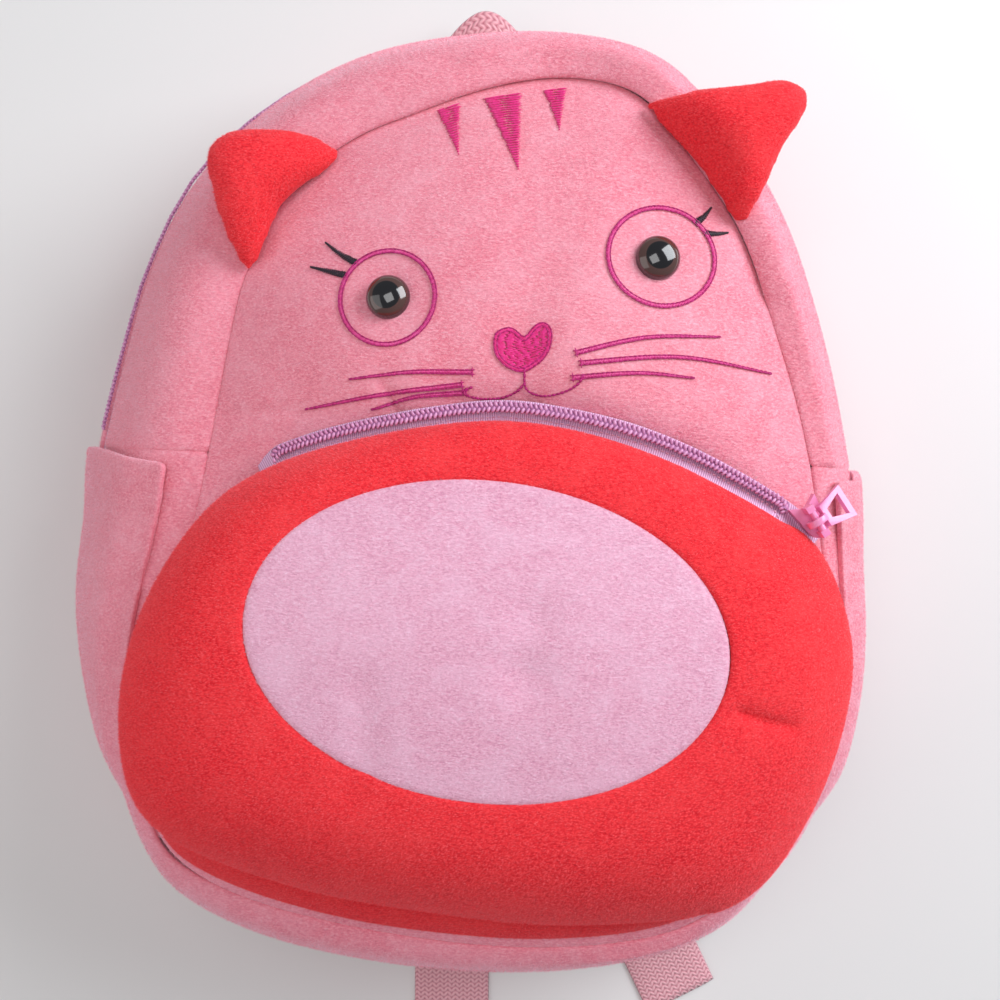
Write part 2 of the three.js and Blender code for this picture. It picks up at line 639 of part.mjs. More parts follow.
const sliderGeometry = united([sliderBody, rodGeometry, ...posts]);
sliderGeometry.applyMatrix4(sliderBase);
add('pocket_slider', sliderGeometry, finish.plastic);

// The pull: a round eye on the rod, and a frame with a window beyond it.
const eyeOuter = pull.eye + pull.rim;
const eyeShape = new THREE.Shape().absarc(0, 0, eyeOuter, 0, 2 * Math.PI);
eyeShape.holes.push(new THREE.Path().absarc(0, 0, pull.eye, 0, 2 * Math.PI, true));
const eyeRing = new THREE.ExtrudeGeometry(eyeShape, flat(pull.thick, 9));
eyeRing.rotateX(Math.PI / 2);
eyeRing.rotateZ(Math.PI / 2);
eyeRing.translate(-pull.thick / 2, 0, 0);
const frameStart = eyeOuter - pull.rim / 2;
const vectors = (points) => points.map(([x, y]) => new THREE.Vector2(x, y));
const frameEnd = frameStart + pull.long;
const frameOutline = (inset) => vectors([
  [inset - pull.near / 2, frameStart + inset], [pull.near / 2 - inset, frameStart + inset],
  [pull.far / 2 - inset, frameEnd - inset], [inset - pull.far / 2, frameEnd - inset],
]);
const frameShape = new THREE.Shape(frameOutline(0));
frameShape.holes.push(new THREE.Path(frameOutline(pull.bar).reverse()));
const pullFrame = new THREE.ExtrudeGeometry(frameShape, flat(pull.thick));
pullFrame.translate(0, 0, -pull.thick / 2);
const pullGeometry = united([eyeRing, pullFrame]);
pullGeometry.rotateX(pullTilt);
pullGeometry.translate(crown.at, 0, rodHeight);
pullGeometry.applyMatrix4(sliderBase);
add('pocket_pull', pullGeometry, finish.plastic);

// The ears: two layers of plush, lightly stuffed, sewn into the seam beside the face

for (const [name, ear] of Object.entries(ears)) {
  const spots = ear.edge.map(onBag);
  const edge = loopOf(spots.map((spot) => new THREE.Vector3(spot.x, spot.y, 0)));
  const middle = spots.reduce((sum, spot) => sum.add(spot), new THREE.Vector2()).divideScalar(spots.length);
  const [rootA, rootB] = ear.root.map((row) => spots[row]);
  const rootWay = rootB.clone().sub(rootA).normalize();
  const offRoot = (p) => Math.abs((p.x - rootA.x) * rootWay.y - (p.y - rootA.y) * rootWay.x);
  const level = (p) => {
    const ground = groundAt([face, bandFront], p.x, p.y) + earClear;
    return Math.max(ground, lerp(ground, ear.rise * seamHeight, smooth(offRoot(p), 0, earRoot)));
  };
  const place = (share, t) => new THREE.Vector3(middle.x, middle.y, 0).lerp(edge.getPoint(t), share);
  const shares = [0.35, 0.62, 0.85, 1];
  const lower = shares.map((share) => Array.from({ length: 26 }, (_, j) => {
    const p = place(share, j / 26);
    return p.setZ(level(p));
  }));
  const upper = shares.map((share, i) => lower[i].map((p) =>
    p.clone().setZ(p.z + earRim + (earThick - earRim) * Math.sqrt(1 - share ** 2))));
  const hub = new THREE.Vector3(middle.x, middle.y, level(middle));
  add(name, shell(upper, lower, true, [hub.clone().setZ(hub.z + earThick), hub]), finish.redPlush);
}

// Embroidery: satin threads raised a little from the face

const onFace = (x, y) => groundAt([face], x, y) + threadClear;

function satinSection(at, side, width) {
  const ends = [-0.5, 0.5].map((half) => at.clone().addScaledVector(side, half * width));
  const heights = ends.map((end) => onFace(end.x, end.y));
  return [
    new THREE.Vector3(ends[0].x, ends[0].y, heights[0]),
    new THREE.Vector3(ends[1].x, ends[1].y, heights[1]),
    new THREE.Vector3(ends[1].x, ends[1].y, heights[1] + threadThick),
    new THREE.Vector3(ends[0].x, ends[0].y, heights[0] + threadThick),
  ];
}

// A line of satin stitch along a path, as wide as width(t).
function satinLine(path, steps, width, loops = false) {
  const sections = Array.from({ length: loops ? steps : steps + 1 }, (_, i) => {
    const t = i / steps;
    const tangent = path.getTangent(t);
    return satinSection(path.getPoint(t), new THREE.Vector2(-tangent.y, tangent.x), width(t));
  });
  return bar(sections, loops);
}
const splineOf = (shares) => new THREE.SplineCurve(shares.map(onBag));

for (const [side, place] of Object.entries(eyes)) {
  const at = onBag([place.x, place.y]);
  const across = 5;
  const slope = [
    (onFace(at.x + across, at.y) - onFace(at.x - across, at.y)) / (2 * across),
    (onFace(at.x, at.y + across) - onFace(at.x, at.y - across)) / (2 * across),
  ];
  const radius = eye.across / 2;
  const dome = Array.from({ length: 6 }, (_, i) => {
    const turn = (Math.PI / 2) * (i / 5);
    return new THREE.Vector2(radius * Math.cos(turn), eye.rim + (eye.tall - eye.rim) * Math.sin(turn));
  });
  dome[5].x = 0;
  const lathe = new THREE.LatheGeometry([new THREE.Vector2(0, 0), new THREE.Vector2(radius, 0), ...dome], 16);
  lathe.rotateX(Math.PI / 2);
  const normal = new THREE.Vector3(-slope[0], -slope[1], 1).normalize();
  lathe.applyQuaternion(new THREE.Quaternion().setFromUnitVectors(up, normal));
  lathe.translate(at.x, at.y, onFace(at.x, at.y) + eye.clear);
  add(`eye_${side}`, lathe, finish.eyeBrown);
  const ringAt = onBag([place.ringX, place.ringY]);
  const ring = new THREE.EllipseCurve(ringAt.x, ringAt.y, place.ringWide, place.ringTall);
  add(`eye_ring_${side}`, satinLine(ring, 26, () => lineWide.ring, true), finish.satin);
}

for (const [name, stripe] of Object.entries(stripes)) {
  const [left, right, tip] = [stripe.left, stripe.right, stripe.tip].map(onBag);
  const sections = Array.from({ length: 7 }, (_, i) => {
    const share = (i / 6) * 0.94;
    const [a, b] = [left.clone().lerp(tip, share), right.clone().lerp(tip, share)];
    const middle = a.clone().add(b).multiplyScalar(0.5);
    return satinSection(middle, b.clone().sub(a).normalize(), b.distanceTo(a));
  });
  add(name, bar(sections), finish.satin);
}

const noseLoop = loopOf(noseEdge.map((share) => new THREE.Vector3(...onBag(share).toArray(), 0)));
const noseHub = onBag([0.137, 0.277]);
const noseGrid = (lift) => [0.55, 1].map((share) => Array.from({ length: 18 }, (_, j) => {
  const edge = noseLoop.getPoint(j / 18);
  const at = noseHub.clone().lerp(new THREE.Vector2(edge.x, edge.y), share);
  return new THREE.Vector3(at.x, at.y, onFace(at.x, at.y) + lift);
}));
const noseMiddle = (lift) => new THREE.Vector3(noseHub.x, noseHub.y, onFace(noseHub.x, noseHub.y) + lift);
add('nose', shell(noseGrid(threadThick), noseGrid(0), true, [noseMiddle(threadThick), noseMiddle(0)]),
  finish.satin);

const taper = (wide) => (t) => wide * (1 - 0.6 * t);
const mouthPieces = [[lipLine, 18], [lipStem, 3]].map(([line, steps]) =>
  satinLine(splineOf(line), steps, () => lineWide.mouth));
add('mouth', united(mouthPieces), finish.satin);
for (const [name, shares] of Object.entries(whiskers)) {
  add(name, satinLine(splineOf(shares), 12, taper(lineWide.whisker)), finish.satin);
}
for (const [name, shares] of Object.entries(lashes)) {
  add(name, satinLine(splineOf(shares.slice().reverse()), 6, taper(lineWide.lash)), finish.black);
}

// Straps and webbing under the bag

// Sections along a path: each is the outline's corners, set across the path and up from it.
function laid(frames, outline) {
  return frames.map(({ at, side, rise }) => outline.map(([a, b]) =>
    at.clone().addScaledVector(side, a).addScaledVector(rise, b)));
}
function flatFrames(points, steps, from, to, turned = 1) {
  const path = new THREE.SplineCurve(points);
  return Array.from({ length: steps + 1 }, (_, i) => {
    const p = path.getPoint(i / steps);
    const tangent = path.getTangent(i / steps);
    return {
      at: new THREE.Vector3(p.x, p.y, lerp(from, to, smooth(i / steps, 0.35, 0.72))),
      side: new THREE.Vector3(-tangent.y, tangent.x, 0).multiplyScalar(turned),
      rise: up.clone().multiplyScalar(turned),
    };
  });
}
const webOutline = [[-0.5, -0.5], [0.5, -0.5], [0.5, 0.5], [-0.5, 0.5]]
  .map(([a, b]) => [a * webbing.wide, b * webbing.thick]);
const padOutline = [
  [-strap.wide / 2 + strap.round, 0], [strap.wide / 2 - strap.round, 0], [strap.wide / 2, strap.round],
  [strap.wide / 2 - strap.round, strap.thick], [-strap.wide / 2 + strap.round, strap.thick],
  [-strap.wide / 2, strap.round],
];
const padSteps = 16;
const legSteps = 15;

for (const [side, route] of Object.entries(strapRoutes)) {
  const heading = THREE.MathUtils.degToRad(route.turn);
  const down = new THREE.Vector2(Math.cos(heading), Math.sin(heading));
  const hub = new THREE.Vector2(...route.lock);
  const lockLong = 2 * lock.bar + lock.mid + 2 * lock.slot;
  const padEnd = hub.clone().addScaledVector(down, -lockLong / 2 - 3 * fit);
  const padPath = [...vectors(route.pad), padEnd];
  const padFrames = flatFrames(padPath, padSteps, 0, 0);
  padFrames[padSteps].side = new THREE.Vector3(-down.y, down.x, 0);
  add(`shoulder_strap_${side}`, bar(laid(padFrames, padOutline)), finish.pinkPlush);

  // The ladder lock at the strap's end: three bars and two slots
  const middle = webbing.thick / 2 + lock.turn;
  const [halfLock, halfLong] = [lock.wide / 2, lockLong / 2];
  const lockShape = new THREE.Shape(vectors([
    [-halfLock, -halfLong], [halfLock, -halfLong], [halfLock, halfLong], [-halfLock, halfLong],
  ]));
  for (const way of [-1, 1]) {
    const [near, far] = [way * lock.mid / 2, way * (lock.mid / 2 + lock.slot)];
    const half = halfLock - lock.side;
    lockShape.holes.push(new THREE.Path(vectors([[-half, near], [half, near], [half, far], [-half, far]])));
  }
  const lockBody = new THREE.ExtrudeGeometry(lockShape, flat(lock.thick));
  lockBody.translate(0, 0, middle - lock.thick / 2);
  lockBody.rotateZ(heading + Math.PI / 2);
  lockBody.translate(hub.x, hub.y, 0);
  add(`strap_adjuster_${side}`, lockBody, finish.plastic);

  // The webbing comes from the corner tab, turns round the lock's middle bar and ends in the free tail
  const ground = webbing.thick / 2;
  const legLow = 1.5 * webbing.thick + fit;
  const leadIn = hub.clone().addScaledVector(down, lockLong / 2 + lock.lead);
  const legFrames = flatFrames([...vectors(route.leg), leadIn, hub], legSteps, legLow, middle + lock.turn);
  const sideAxis = new THREE.Vector3(down.y, -down.x, 0);
  legFrames[legSteps].side = sideAxis.clone();
  const turnFrames = [0.25, 0.5, 0.75].map((share) => {
    const angle = share * Math.PI;
    const rise = new THREE.Vector3(-down.x * Math.sin(angle), -down.y * Math.sin(angle), Math.cos(angle));
    return {
      at: new THREE.Vector3(hub.x, hub.y, middle).addScaledVector(rise, lock.turn),
      side: sideAxis.clone(),
      rise,
    };
  });
  const tailFrames = flatFrames([hub, leadIn, ...vectors(route.tail)], 7, ground, ground, -1);
  tailFrames[0].side = sideAxis.clone();
  const webFrames = [...legFrames, ...turnFrames, ...tailFrames];
  add(`strap_webbing_${side}`, bar(laid(webFrames, webOutline)), finish.webbing);

  // The plush tab over the webbing's sewn end, from the back seam
  const [root, tip] = vectors(route.tab);
  const tabWay = tip.clone().sub(root);
  const tabShape = new THREE.Shape(vectors([[-tab.root / 2, 0], [tab.root / 2, 0],
    [tab.tip / 2, tabWay.length()], [-tab.tip / 2, tabWay.length()]]));
  const tabLow = legLow + webbing.thick / 2 + 2 * fit;
  const tabBody = new THREE.ExtrudeGeometry(tabShape, flat(backLevel - fit - tabLow));
  tabBody.rotateZ(Math.atan2(tabWay.y, tabWay.x) - Math.PI / 2);
  tabBody.translate(root.x, root.y, tabLow);
  add(`corner_tab_${side}`, tabBody, finish.pinkPlush);
}

// The grab handle: a slack webbing loop, gathered at its top, that curls up behind the top of the bag
const handleSections = Array.from({ length: 21 }, (_, i) => {
  const turn = Math.PI * (1 - i / 20);
  const high = Math.sin(turn);
  const foot = handle.foot * halfTall;
  const lift = handle.curl * high ** 3;
  const inner = [handle.middle + handle.gap * Math.cos(turn), foot + handle.inner * high];
  const outer = [
    handle.middle + handle.half * Math.cos(turn) * (1 - handle.pinch * high ** 2),
    foot + handle.outer * high,
  ];
  return [[inner, 0, 0], [outer, lift, 0], [outer, lift, webbing.thick], [inner, 0, webbing.thick]]
    .map(([[x, y], rise, thick]) => new THREE.Vector3(x, y, handle.low + rise + thick));
});
add('grab_handle', bar(handleSections), finish.webbing);

// The origin is under the middle of the bag, on the ground.
const bounds = new THREE.Box3().setFromObject(bag);
const centre = bounds.getCenter(new THREE.Vector3());
bag.position.set(-centre.x, -centre.y, -bounds.min.z);

export default bag;
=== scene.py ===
import math
import random
import bpy
import bmesh
import numpy as np
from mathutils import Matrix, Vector
from mathutils.bvhtree import BVHTree
from mathutils.kdtree import KDTree


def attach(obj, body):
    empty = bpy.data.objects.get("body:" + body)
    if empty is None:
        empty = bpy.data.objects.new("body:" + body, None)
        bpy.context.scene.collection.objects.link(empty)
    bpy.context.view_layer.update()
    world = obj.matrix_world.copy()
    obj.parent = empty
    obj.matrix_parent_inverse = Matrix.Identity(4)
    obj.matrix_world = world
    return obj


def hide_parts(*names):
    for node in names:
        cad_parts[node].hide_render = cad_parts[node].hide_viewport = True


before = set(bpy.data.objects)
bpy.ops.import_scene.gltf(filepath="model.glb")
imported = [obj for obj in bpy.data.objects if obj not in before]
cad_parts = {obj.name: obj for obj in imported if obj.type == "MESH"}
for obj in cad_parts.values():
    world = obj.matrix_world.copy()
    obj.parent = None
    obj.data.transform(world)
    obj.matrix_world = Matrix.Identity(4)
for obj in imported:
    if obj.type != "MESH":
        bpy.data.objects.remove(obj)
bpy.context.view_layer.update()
mm = 0.001
bagMiddle = np.array([1.083, 11.75])  # the middle of the bag, mm
bagHalf = np.array([118.5, 140.5])  # its half sizes across and up, mm
print("frame loaded:", len(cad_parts), "nodes")

# Camera, floor and light
camera = {"x": 11.78, "y": 10.95, "height": 425, "roll": 1.2, "lens": 45}
studio = {
    "floor": (0.80, 0.79, 0.78), "ambient": (0.93, 0.95, 1.0), "ambientPower": 0.26,
    "lights": [  # place and target in mm, size in mm, power in watts, colour
        ("windowLight", (620, 420, 520), (20, 20, 60), 620, 8.2, (0.93, 0.96, 1.0)),
        ("fillLight", (-650, -120, 480), (0, 0, 60), 700, 1.6, (1.0, 0.97, 0.95)),
        ("topLight", (-60, 120, 900), (0, 0, 60), 420, 1.7, (1.0, 1.0, 1.0)),
    ],
}
cameraData = bpy.data.cameras.new("camera")
cameraData.lens = camera["lens"]
cameraData.sensor_width = 36
cameraObject = bpy.data.objects.new("camera", cameraData)
cameraObject.location = (camera["x"] * mm, camera["y"] * mm, camera["height"] * mm)
cameraObject.rotation_euler = (0, 0, math.radians(camera["roll"]))
bpy.context.scene.collection.objects.link(cameraObject)
bpy.context.scene.camera = cameraObject
for name, place, target, size, power, colour in studio["lights"]:
    light = bpy.data.lights.new(name, "AREA")
    light.size = size * mm
    light.energy = power
    light.color = colour
    lightObject = bpy.data.objects.new(name, light)
    lightObject.location = [value * mm for value in place]
    way = Vector(target) - Vector(place)
    lightObject.rotation_euler = way.to_track_quat("-Z", "Y").to_euler()
    bpy.context.scene.collection.objects.link(lightObject)
world = bpy.data.worlds.new("softRoom")
world.use_nodes = True
world.node_tree.nodes["Background"].inputs["Color"].default_value = (*studio["ambient"], 1)
world.node_tree.nodes["Background"].inputs["Strength"].default_value = studio["ambientPower"]
bpy.context.scene.world = world
bpy.context.scene.view_settings.view_transform = "Standard"


# Shader helpers: a value that is another node's output is linked, and any other is set
def nodeIn(tree, kind, values=None, **settings):
    made = tree.nodes.new(kind)
    for key, value in settings.items():
        setattr(made, key, value)
    for key, value in (values or {}).items():
        if hasattr(value, "is_output"):
            tree.links.new(value, made.inputs[key])
        else:
            made.inputs[key].default_value = value
    return made


def mixColours(tree, factor, first, second):
    return nodeIn(tree, "ShaderNodeMix", {0: factor, 6: first, 7: second}, data_type="RGBA").outputs[2]


def maths(tree, operation, *values):
    return nodeIn(tree, "ShaderNodeMath", dict(enumerate(values)), operation=operation).outputs[0]


def ramp(tree, value, low, high):
    made = nodeIn(tree, "ShaderNodeMapRange", {"Value": value, "From Min": low, "From Max": high})
    return made.outputs["Result"]


def newGroup(name, inputs, outputs):
    group = bpy.data.node_groups.new(name, "ShaderNodeTree")
    for label, kind, value in inputs:
        socket = group.interface.new_socket(label, in_out="INPUT", socket_type=kind)
        if value is not None:
            socket.default_value = value
    for label, kind in outputs:
        group.interface.new_socket(label, in_out="OUTPUT", socket_type=kind)
    return group, nodeIn(group, "NodeGroupInput").outputs, nodeIn(group, "NodeGroupOutput").inputs


def rgb(*values):
    return (*values, 1.0)


# Short velour pile: fine grain in rows with painted shade at the roots and painted light at the tips, brushed
# patches of painted sheen, and a slow change of tone
def makePileGroup():
    group, given, result = newGroup("velourPile", [
        ("Vector", "NodeSocketVector", None),
        ("Colour", "NodeSocketColor", None),
        ("Lit Tips", "NodeSocketColor", None),
        ("Root Shade", "NodeSocketColor", None),
        ("Grain", "NodeSocketFloat", 0.8),
        ("Patch", "NodeSocketFloat", 9.0),
        ("Brushed Sheen", "NodeSocketFloat", 0.35),
    ], [("Colour", "NodeSocketColor"), ("Height", "NodeSocketFloat")])
    inMm = nodeIn(group, "ShaderNodeVectorMath", {0: given["Vector"], "Scale": 1000.0}, operation="SCALE")
    rows = nodeIn(group, "ShaderNodeMapping", {"Vector": inMm.outputs[0], "Scale": (0.75, 1.5, 1.1)})
    perGrain = maths(group, "DIVIDE", 1.0, given["Grain"])
    perPatch = maths(group, "DIVIDE", 1.0, given["Patch"])
    fine = nodeIn(group, "ShaderNodeTexNoise", {
        "Vector": rows.outputs[0], "Scale": perGrain, "Detail": 3.0, "Roughness": 0.65}).outputs[0]
    patch = nodeIn(group, "ShaderNodeTexNoise", {
        "Vector": inMm.outputs[0], "Scale": perPatch, "Detail": 3.0, "Roughness": 0.6,
        "Distortion": 0.6}).outputs[0]
    slow = nodeIn(group, "ShaderNodeTexNoise", {
        "Vector": inMm.outputs[0], "Scale": 0.018, "Detail": 1.0}).outputs[0]
    # painted shade between the fibres: where the fine grain is low, the colour goes to the darker root colour
    tone = mixColours(group, ramp(group, fine, 0.36, 0.56), given["Root Shade"], given["Colour"])
    # painted glints: the highest specks of the fine grain take the lighter tip colour
    paintedGlint = maths(group, "MULTIPLY", ramp(group, fine, 0.54, 0.72), 0.8)
    tone = mixColours(group, paintedGlint, tone, given["Lit Tips"])
    # painted sheen: brushed patches of pile turn lighter toward the tip colour, as leaning pile catches the
    # light
    brushedSheen = maths(group, "MULTIPLY", ramp(group, patch, 0.42, 0.68), given["Brushed Sheen"])
    tone = mixColours(group, brushedSheen, tone, given["Lit Tips"])
    drift = maths(group, "MULTIPLY", ramp(group, slow, 0.45, 0.7), 0.18)
    tone = mixColours(group, drift, tone, given["Lit Tips"])
    group.links.new(tone, result["Colour"])
    height = maths(group, "ADD", maths(group, "MULTIPLY", fine, 0.8), maths(group, "MULTIPLY", patch, 0.5))
    group.links.new(height, result["Height"])
    return group


# Flat woven webbing: chevron columns along its length, from a UV map in millimetres, with painted shade in the
# low parts of the weave
def makeWeaveGroup():
    group, given, result = newGroup("chevronWeave", [
        ("Vector", "NodeSocketVector", None),
        ("Colour", "NodeSocketColor", None),
        ("Shaded Gaps", "NodeSocketColor", None),
        ("Column", "NodeSocketFloat", 2.6),
        ("Pick", "NodeSocketFloat", 1.5),
    ], [("Colour", "NodeSocketColor"), ("Height", "NodeSocketFloat")])
    parts = nodeIn(group, "ShaderNodeSeparateXYZ", {0: given["Vector"]}).outputs
    across = maths(group, "DIVIDE", parts[0], given["Column"])
    zigzag = maths(group, "PINGPONG", across, 0.5)
    along = maths(group, "DIVIDE", parts[1], given["Pick"])
    slanted = maths(group, "ADD", along, maths(group, "MULTIPLY", zigzag, 1.4))
    pick = maths(group, "PINGPONG", slanted, 0.5)
    ribs = maths(group, "PINGPONG", maths(group, "MULTIPLY", across, 2.0), 0.5)
    height = maths(group, "ADD", maths(group, "MULTIPLY", pick, 1.6), maths(group, "MULTIPLY", ribs, 0.7))
    # painted shade: the low parts of the weave take the darker gap colour
    tone = mixColours(group, ramp(group, height, 0.1, 0.75), given["Shaded Gaps"], given["Colour"])
    group.links.new(tone, result["Colour"])
    group.links.new(height, result["Height"])
    return group


pileGroup = makePileGroup()
weaveGroup = makeWeaveGroup()


def material(name, roughness, sockets=None):
    made = bpy.data.materials.new(name)
    made.use_nodes = True
    shader = made.node_tree.nodes["Principled BSDF"]
    shader.inputs["Roughness"].default_value = roughness
    for key, value in (sockets or {}).items():
        shader.inputs[key].default_value = value
    return made, made.node_tree, shader


def useGroup(tree, group, vector, values):
    made = nodeIn(tree, "ShaderNodeGroup", node_tree=group)
    tree.links.new(vector, made.inputs["Vector"])
    for key, value in values.items():
        made.inputs[key].default_value = value
    return made.outputs


def bumpFrom(tree, shader, height, strength, distance):
    bump = nodeIn(tree, "ShaderNodeBump", {"Height": height, "Strength": strength, "Distance": distance * mm})
    tree.links.new(bump.outputs[0], shader.inputs["Normal"])


# each look: its colour, a lighter tip colour for painted light, a darker root colour for painted shade, the
# sheen tint, the sheen weight and the strength of the painted sheen on brushed patches
plushLooks = {
    "pinkPlush": {
        "colour": rgb(0.91, 0.30, 0.38), "tips": rgb(0.96, 0.50, 0.60), "rootShade": rgb(0.78, 0.20, 0.28),
        "sheen": rgb(1.0, 0.88, 1.0), "weight": 0.75, "brushedSheen": 0.3},
    "redPlush": {
        "colour": rgb(0.93, 0.036, 0.05), "tips": rgb(0.98, 0.075, 0.08), "rootShade": rgb(0.72, 0.014, 0.026),
        "sheen": rgb(1.0, 0.48, 0.55), "weight": 0.25, "brushedSheen": 0.3},
    "palePlush": {
        "colour": rgb(0.84, 0.43, 0.57), "tips": rgb(0.90, 0.60, 0.75), "rootShade": rgb(0.70, 0.31, 0.45),
        "sheen": rgb(1.0, 0.9, 1.0), "weight": 0.35, "brushedSheen": 0.35},
}


def plushMaterial(name, look):
    made, tree, shader = material(name, 0.92, {
        "Sheen Weight": look["weight"], "Sheen Roughness": 0.35, "Sheen Tint": look["sheen"],
        "Specular IOR Level": 0.2})
    place = nodeIn(tree, "ShaderNodeTexCoord").outputs["Object"]
    pile = useGroup(tree, pileGroup, place, {
        "Colour": look["colour"], "Lit Tips": look["tips"], "Root Shade": look["rootShade"], "Brushed Sheen": look["brushedSheen"]})
    tree.links.new(pile["Colour"], shader.inputs["Base Color"])
    bumpFrom(tree, shader, pile["Height"], 0.7, 0.5)
    return made


def fibreMaterial(name, look):
    made, tree, shader = material(name, 0.85, {
        "Sheen Weight": look["weight"], "Sheen Tint": look["sheen"], "Specular IOR Level": 0.2})
    tone = nodeIn(tree, "ShaderNodeAttribute", attribute_name="tone").outputs["Fac"]
    # painted highlight: fibres run from the plush colour to the lighter tip colour, whitened with the sheen
    # tint, so that the pile sparkles
    tips = mixColours(tree, 0.3, look["tips"], look["sheen"])
    tree.links.new(mixColours(tree, tone, look["colour"], tips), shader.inputs["Base Color"])
    return made


looks = {name: plushMaterial(name, look) for name, look in plushLooks.items()}
fibres = {name: fibreMaterial(name + "Fibre", look) for name, look in plushLooks.items()}


def webbingMaterial():
    made, tree, shader = material("pinkWebbing", 0.7, {"Sheen Weight": 0.3, "Specular IOR Level": 0.3})
    place = nodeIn(tree, "ShaderNodeUVMap", uv_map="weave").outputs[0]
    # the darker second colour is painted shade in the weave's low parts
    weave = useGroup(tree, weaveGroup, place, {
        "Colour": rgb(0.86, 0.47, 0.52), "Shaded Gaps": rgb(0.55, 0.2, 0.25)})
    tree.links.new(weave["Colour"], shader.inputs["Base Color"])
    bumpFrom(tree, shader, weave["Height"], 0.8, 0.35)
    return made


def tapeMaterial():
    made, tree, shader = material("zipTape", 0.65, {"Sheen Weight": 0.25, "Specular IOR Level": 0.3})
    place = nodeIn(tree, "ShaderNodeUVMap", uv_map="weave").outputs[0]
    parts = nodeIn(tree, "ShaderNodeSeparateXYZ", {0: place}).outputs
    rib = maths(tree, "PINGPONG", maths(tree, "DIVIDE", parts[1], 0.62), 0.5)
    # painted shade: the hollows between the tape's ribs take the darker colour, the ribs the lighter one
    colour = mixColours(tree, ramp(tree, rib, 0.05, 0.4), rgb(0.52, 0.24, 0.46), rgb(0.88, 0.58, 0.82))
    tree.links.new(colour, shader.inputs["Base Color"])
    bumpFrom(tree, shader, rib, 0.6, 0.2)
    return made


def plainMaterial(name, first, second, roughness, sockets, grain, depth):
    made, tree, shader = material(name, roughness, sockets)
    place = nodeIn(tree, "ShaderNodeTexCoord").outputs["Object"]
    inMm = nodeIn(tree, "ShaderNodeVectorMath", {0: place, "Scale": 1000.0}, operation="SCALE")
    cloud = nodeIn(tree, "ShaderNodeTexNoise", {
        "Vector": inMm.outputs[0], "Scale": grain, "Detail": 4.0}).outputs[0]
    colour = mixColours(tree, ramp(tree, cloud, 0.35, 0.65), first, second)
    tree.links.new(colour, shader.inputs["Base Color"])
    bumpFrom(tree, shader, cloud, 0.4, depth)
    return made


looks["webbing"] = webbingMaterial()
looks["tape"] = tapeMaterial()
plainLooks = {  # look: material, two colours, roughness, other sockets, grain, depth of the relief in mm
    "coil": ("zipCoil", (0.58, 0.22, 0.44), (0.76, 0.38, 0.62), 0.4, {}, 0.9, 0.02),
    "satin": ("satinThread", (0.66, 0.006, 0.15), (0.84, 0.025, 0.27), 0.38, {"Sheen Weight": 0.2}, 1.2, 0.02),
    # the fill satin is a lighter copy of the satin thread; its extra lightness is painted sheen
    "satinFill": ("satinFillSheenThread", (0.68, 0.035, 0.23), (0.84, 0.10, 0.36), 0.4, {}, 1.2, 0.02),
    "satinEdge": ("satinEdgeThread", (0.36, 0.003, 0.11), (0.54, 0.01, 0.20), 0.45, {}, 1.2, 0.02),
    # the coil bed: its darker colour is painted shade between the teeth
    "coilBed": ("zipCoilBedShade", (0.30, 0.09, 0.24), (0.42, 0.16, 0.34), 0.6, {}, 0.9, 0.02),
    "satinPale": ("seamThread", (0.72, 0.36, 0.52), (0.86, 0.52, 0.68), 0.5, {}, 0.9, 0.02),
    "black": ("blackThread", (0.008, 0.004, 0.01), (0.02, 0.012, 0.025), 0.5, {}, 1.2, 0.02),
    "plastic": ("pinkPlastic", (0.86, 0.24, 0.50), (0.92, 0.32, 0.58), 0.28,
                {"Coat Weight": 0.3, "Coat Roughness": 0.15}, 0.15, 0.01),
}
for name, (label, first, second, *rest) in plainLooks.items():
    looks[name] = plainMaterial(label, rgb(*first), rgb(*second), *rest)
floorMaterial, floorTree, floorShader = material("paleFloor", 0.6)
floorShader.inputs["Base Color"].default_value = rgb(*studio["floor"])
print("materials ready:", len(bpy.data.materials))


# Mesh helpers, which work in millimetres
def linked(mesh, name, look):
    made = bpy.data.objects.new(name, mesh)
    bpy.context.scene.collection.objects.link(made)
    mesh.materials.clear()
    mesh.materials.append(look)
    return made


def evaluated(source, name):
    graph = bpy.context.evaluated_depsgraph_get()
    mesh = bpy.data.meshes.new_from_object(source.evaluated_get(graph), depsgraph=graph)
    mesh.name = name
    old = source.data
    source.modifiers.clear()
    source.data = mesh
    bpy.data.meshes.remove(old)
    return source


def smoothShaded(mesh):
    mesh.polygons.foreach_set("use_smooth", [True] * len(mesh.polygons))
    return mesh


def pointsOf(mesh):
    flat = np.empty(len(mesh.vertices) * 3, np.float32)
    mesh.vertices.foreach_get("co", flat)
    return flat.reshape(-1, 3).astype(float) / mm


def normalsOf(mesh):
    flat = np.empty(len(mesh.vertices) * 3, np.float32)
    mesh.vertices.foreach_get("normal", flat)
    return flat.reshape(-1, 3).astype(float)


def setPoints(mesh, points):
    mesh.vertices.foreach_set("co", (points * mm).astype(np.float32).ravel())
    mesh.update()


def setField(mesh, name, values, kind="FLOAT"):
    field = mesh.attributes.get(name) or mesh.attributes.new(name, kind, "POINT")
    field.data.foreach_set("value" if kind == "FLOAT" else "vector", np.asarray(values, np.float32).ravel())


def smoothStep(value, low, high):
    share = np.clip((value - low) / (high - low), 0, 1)
    return share * share * (3 - 2 * share)


def setWeave(mesh, uv):
    layer = mesh.uv_layers.new(name="weave")
    corners = np.empty(len(mesh.loops), np.int32)
    mesh.loops.foreach_get("vertex_index", corners)
    layer.data.foreach_set("uv", np.asarray(uv, np.float32)[corners].ravel())


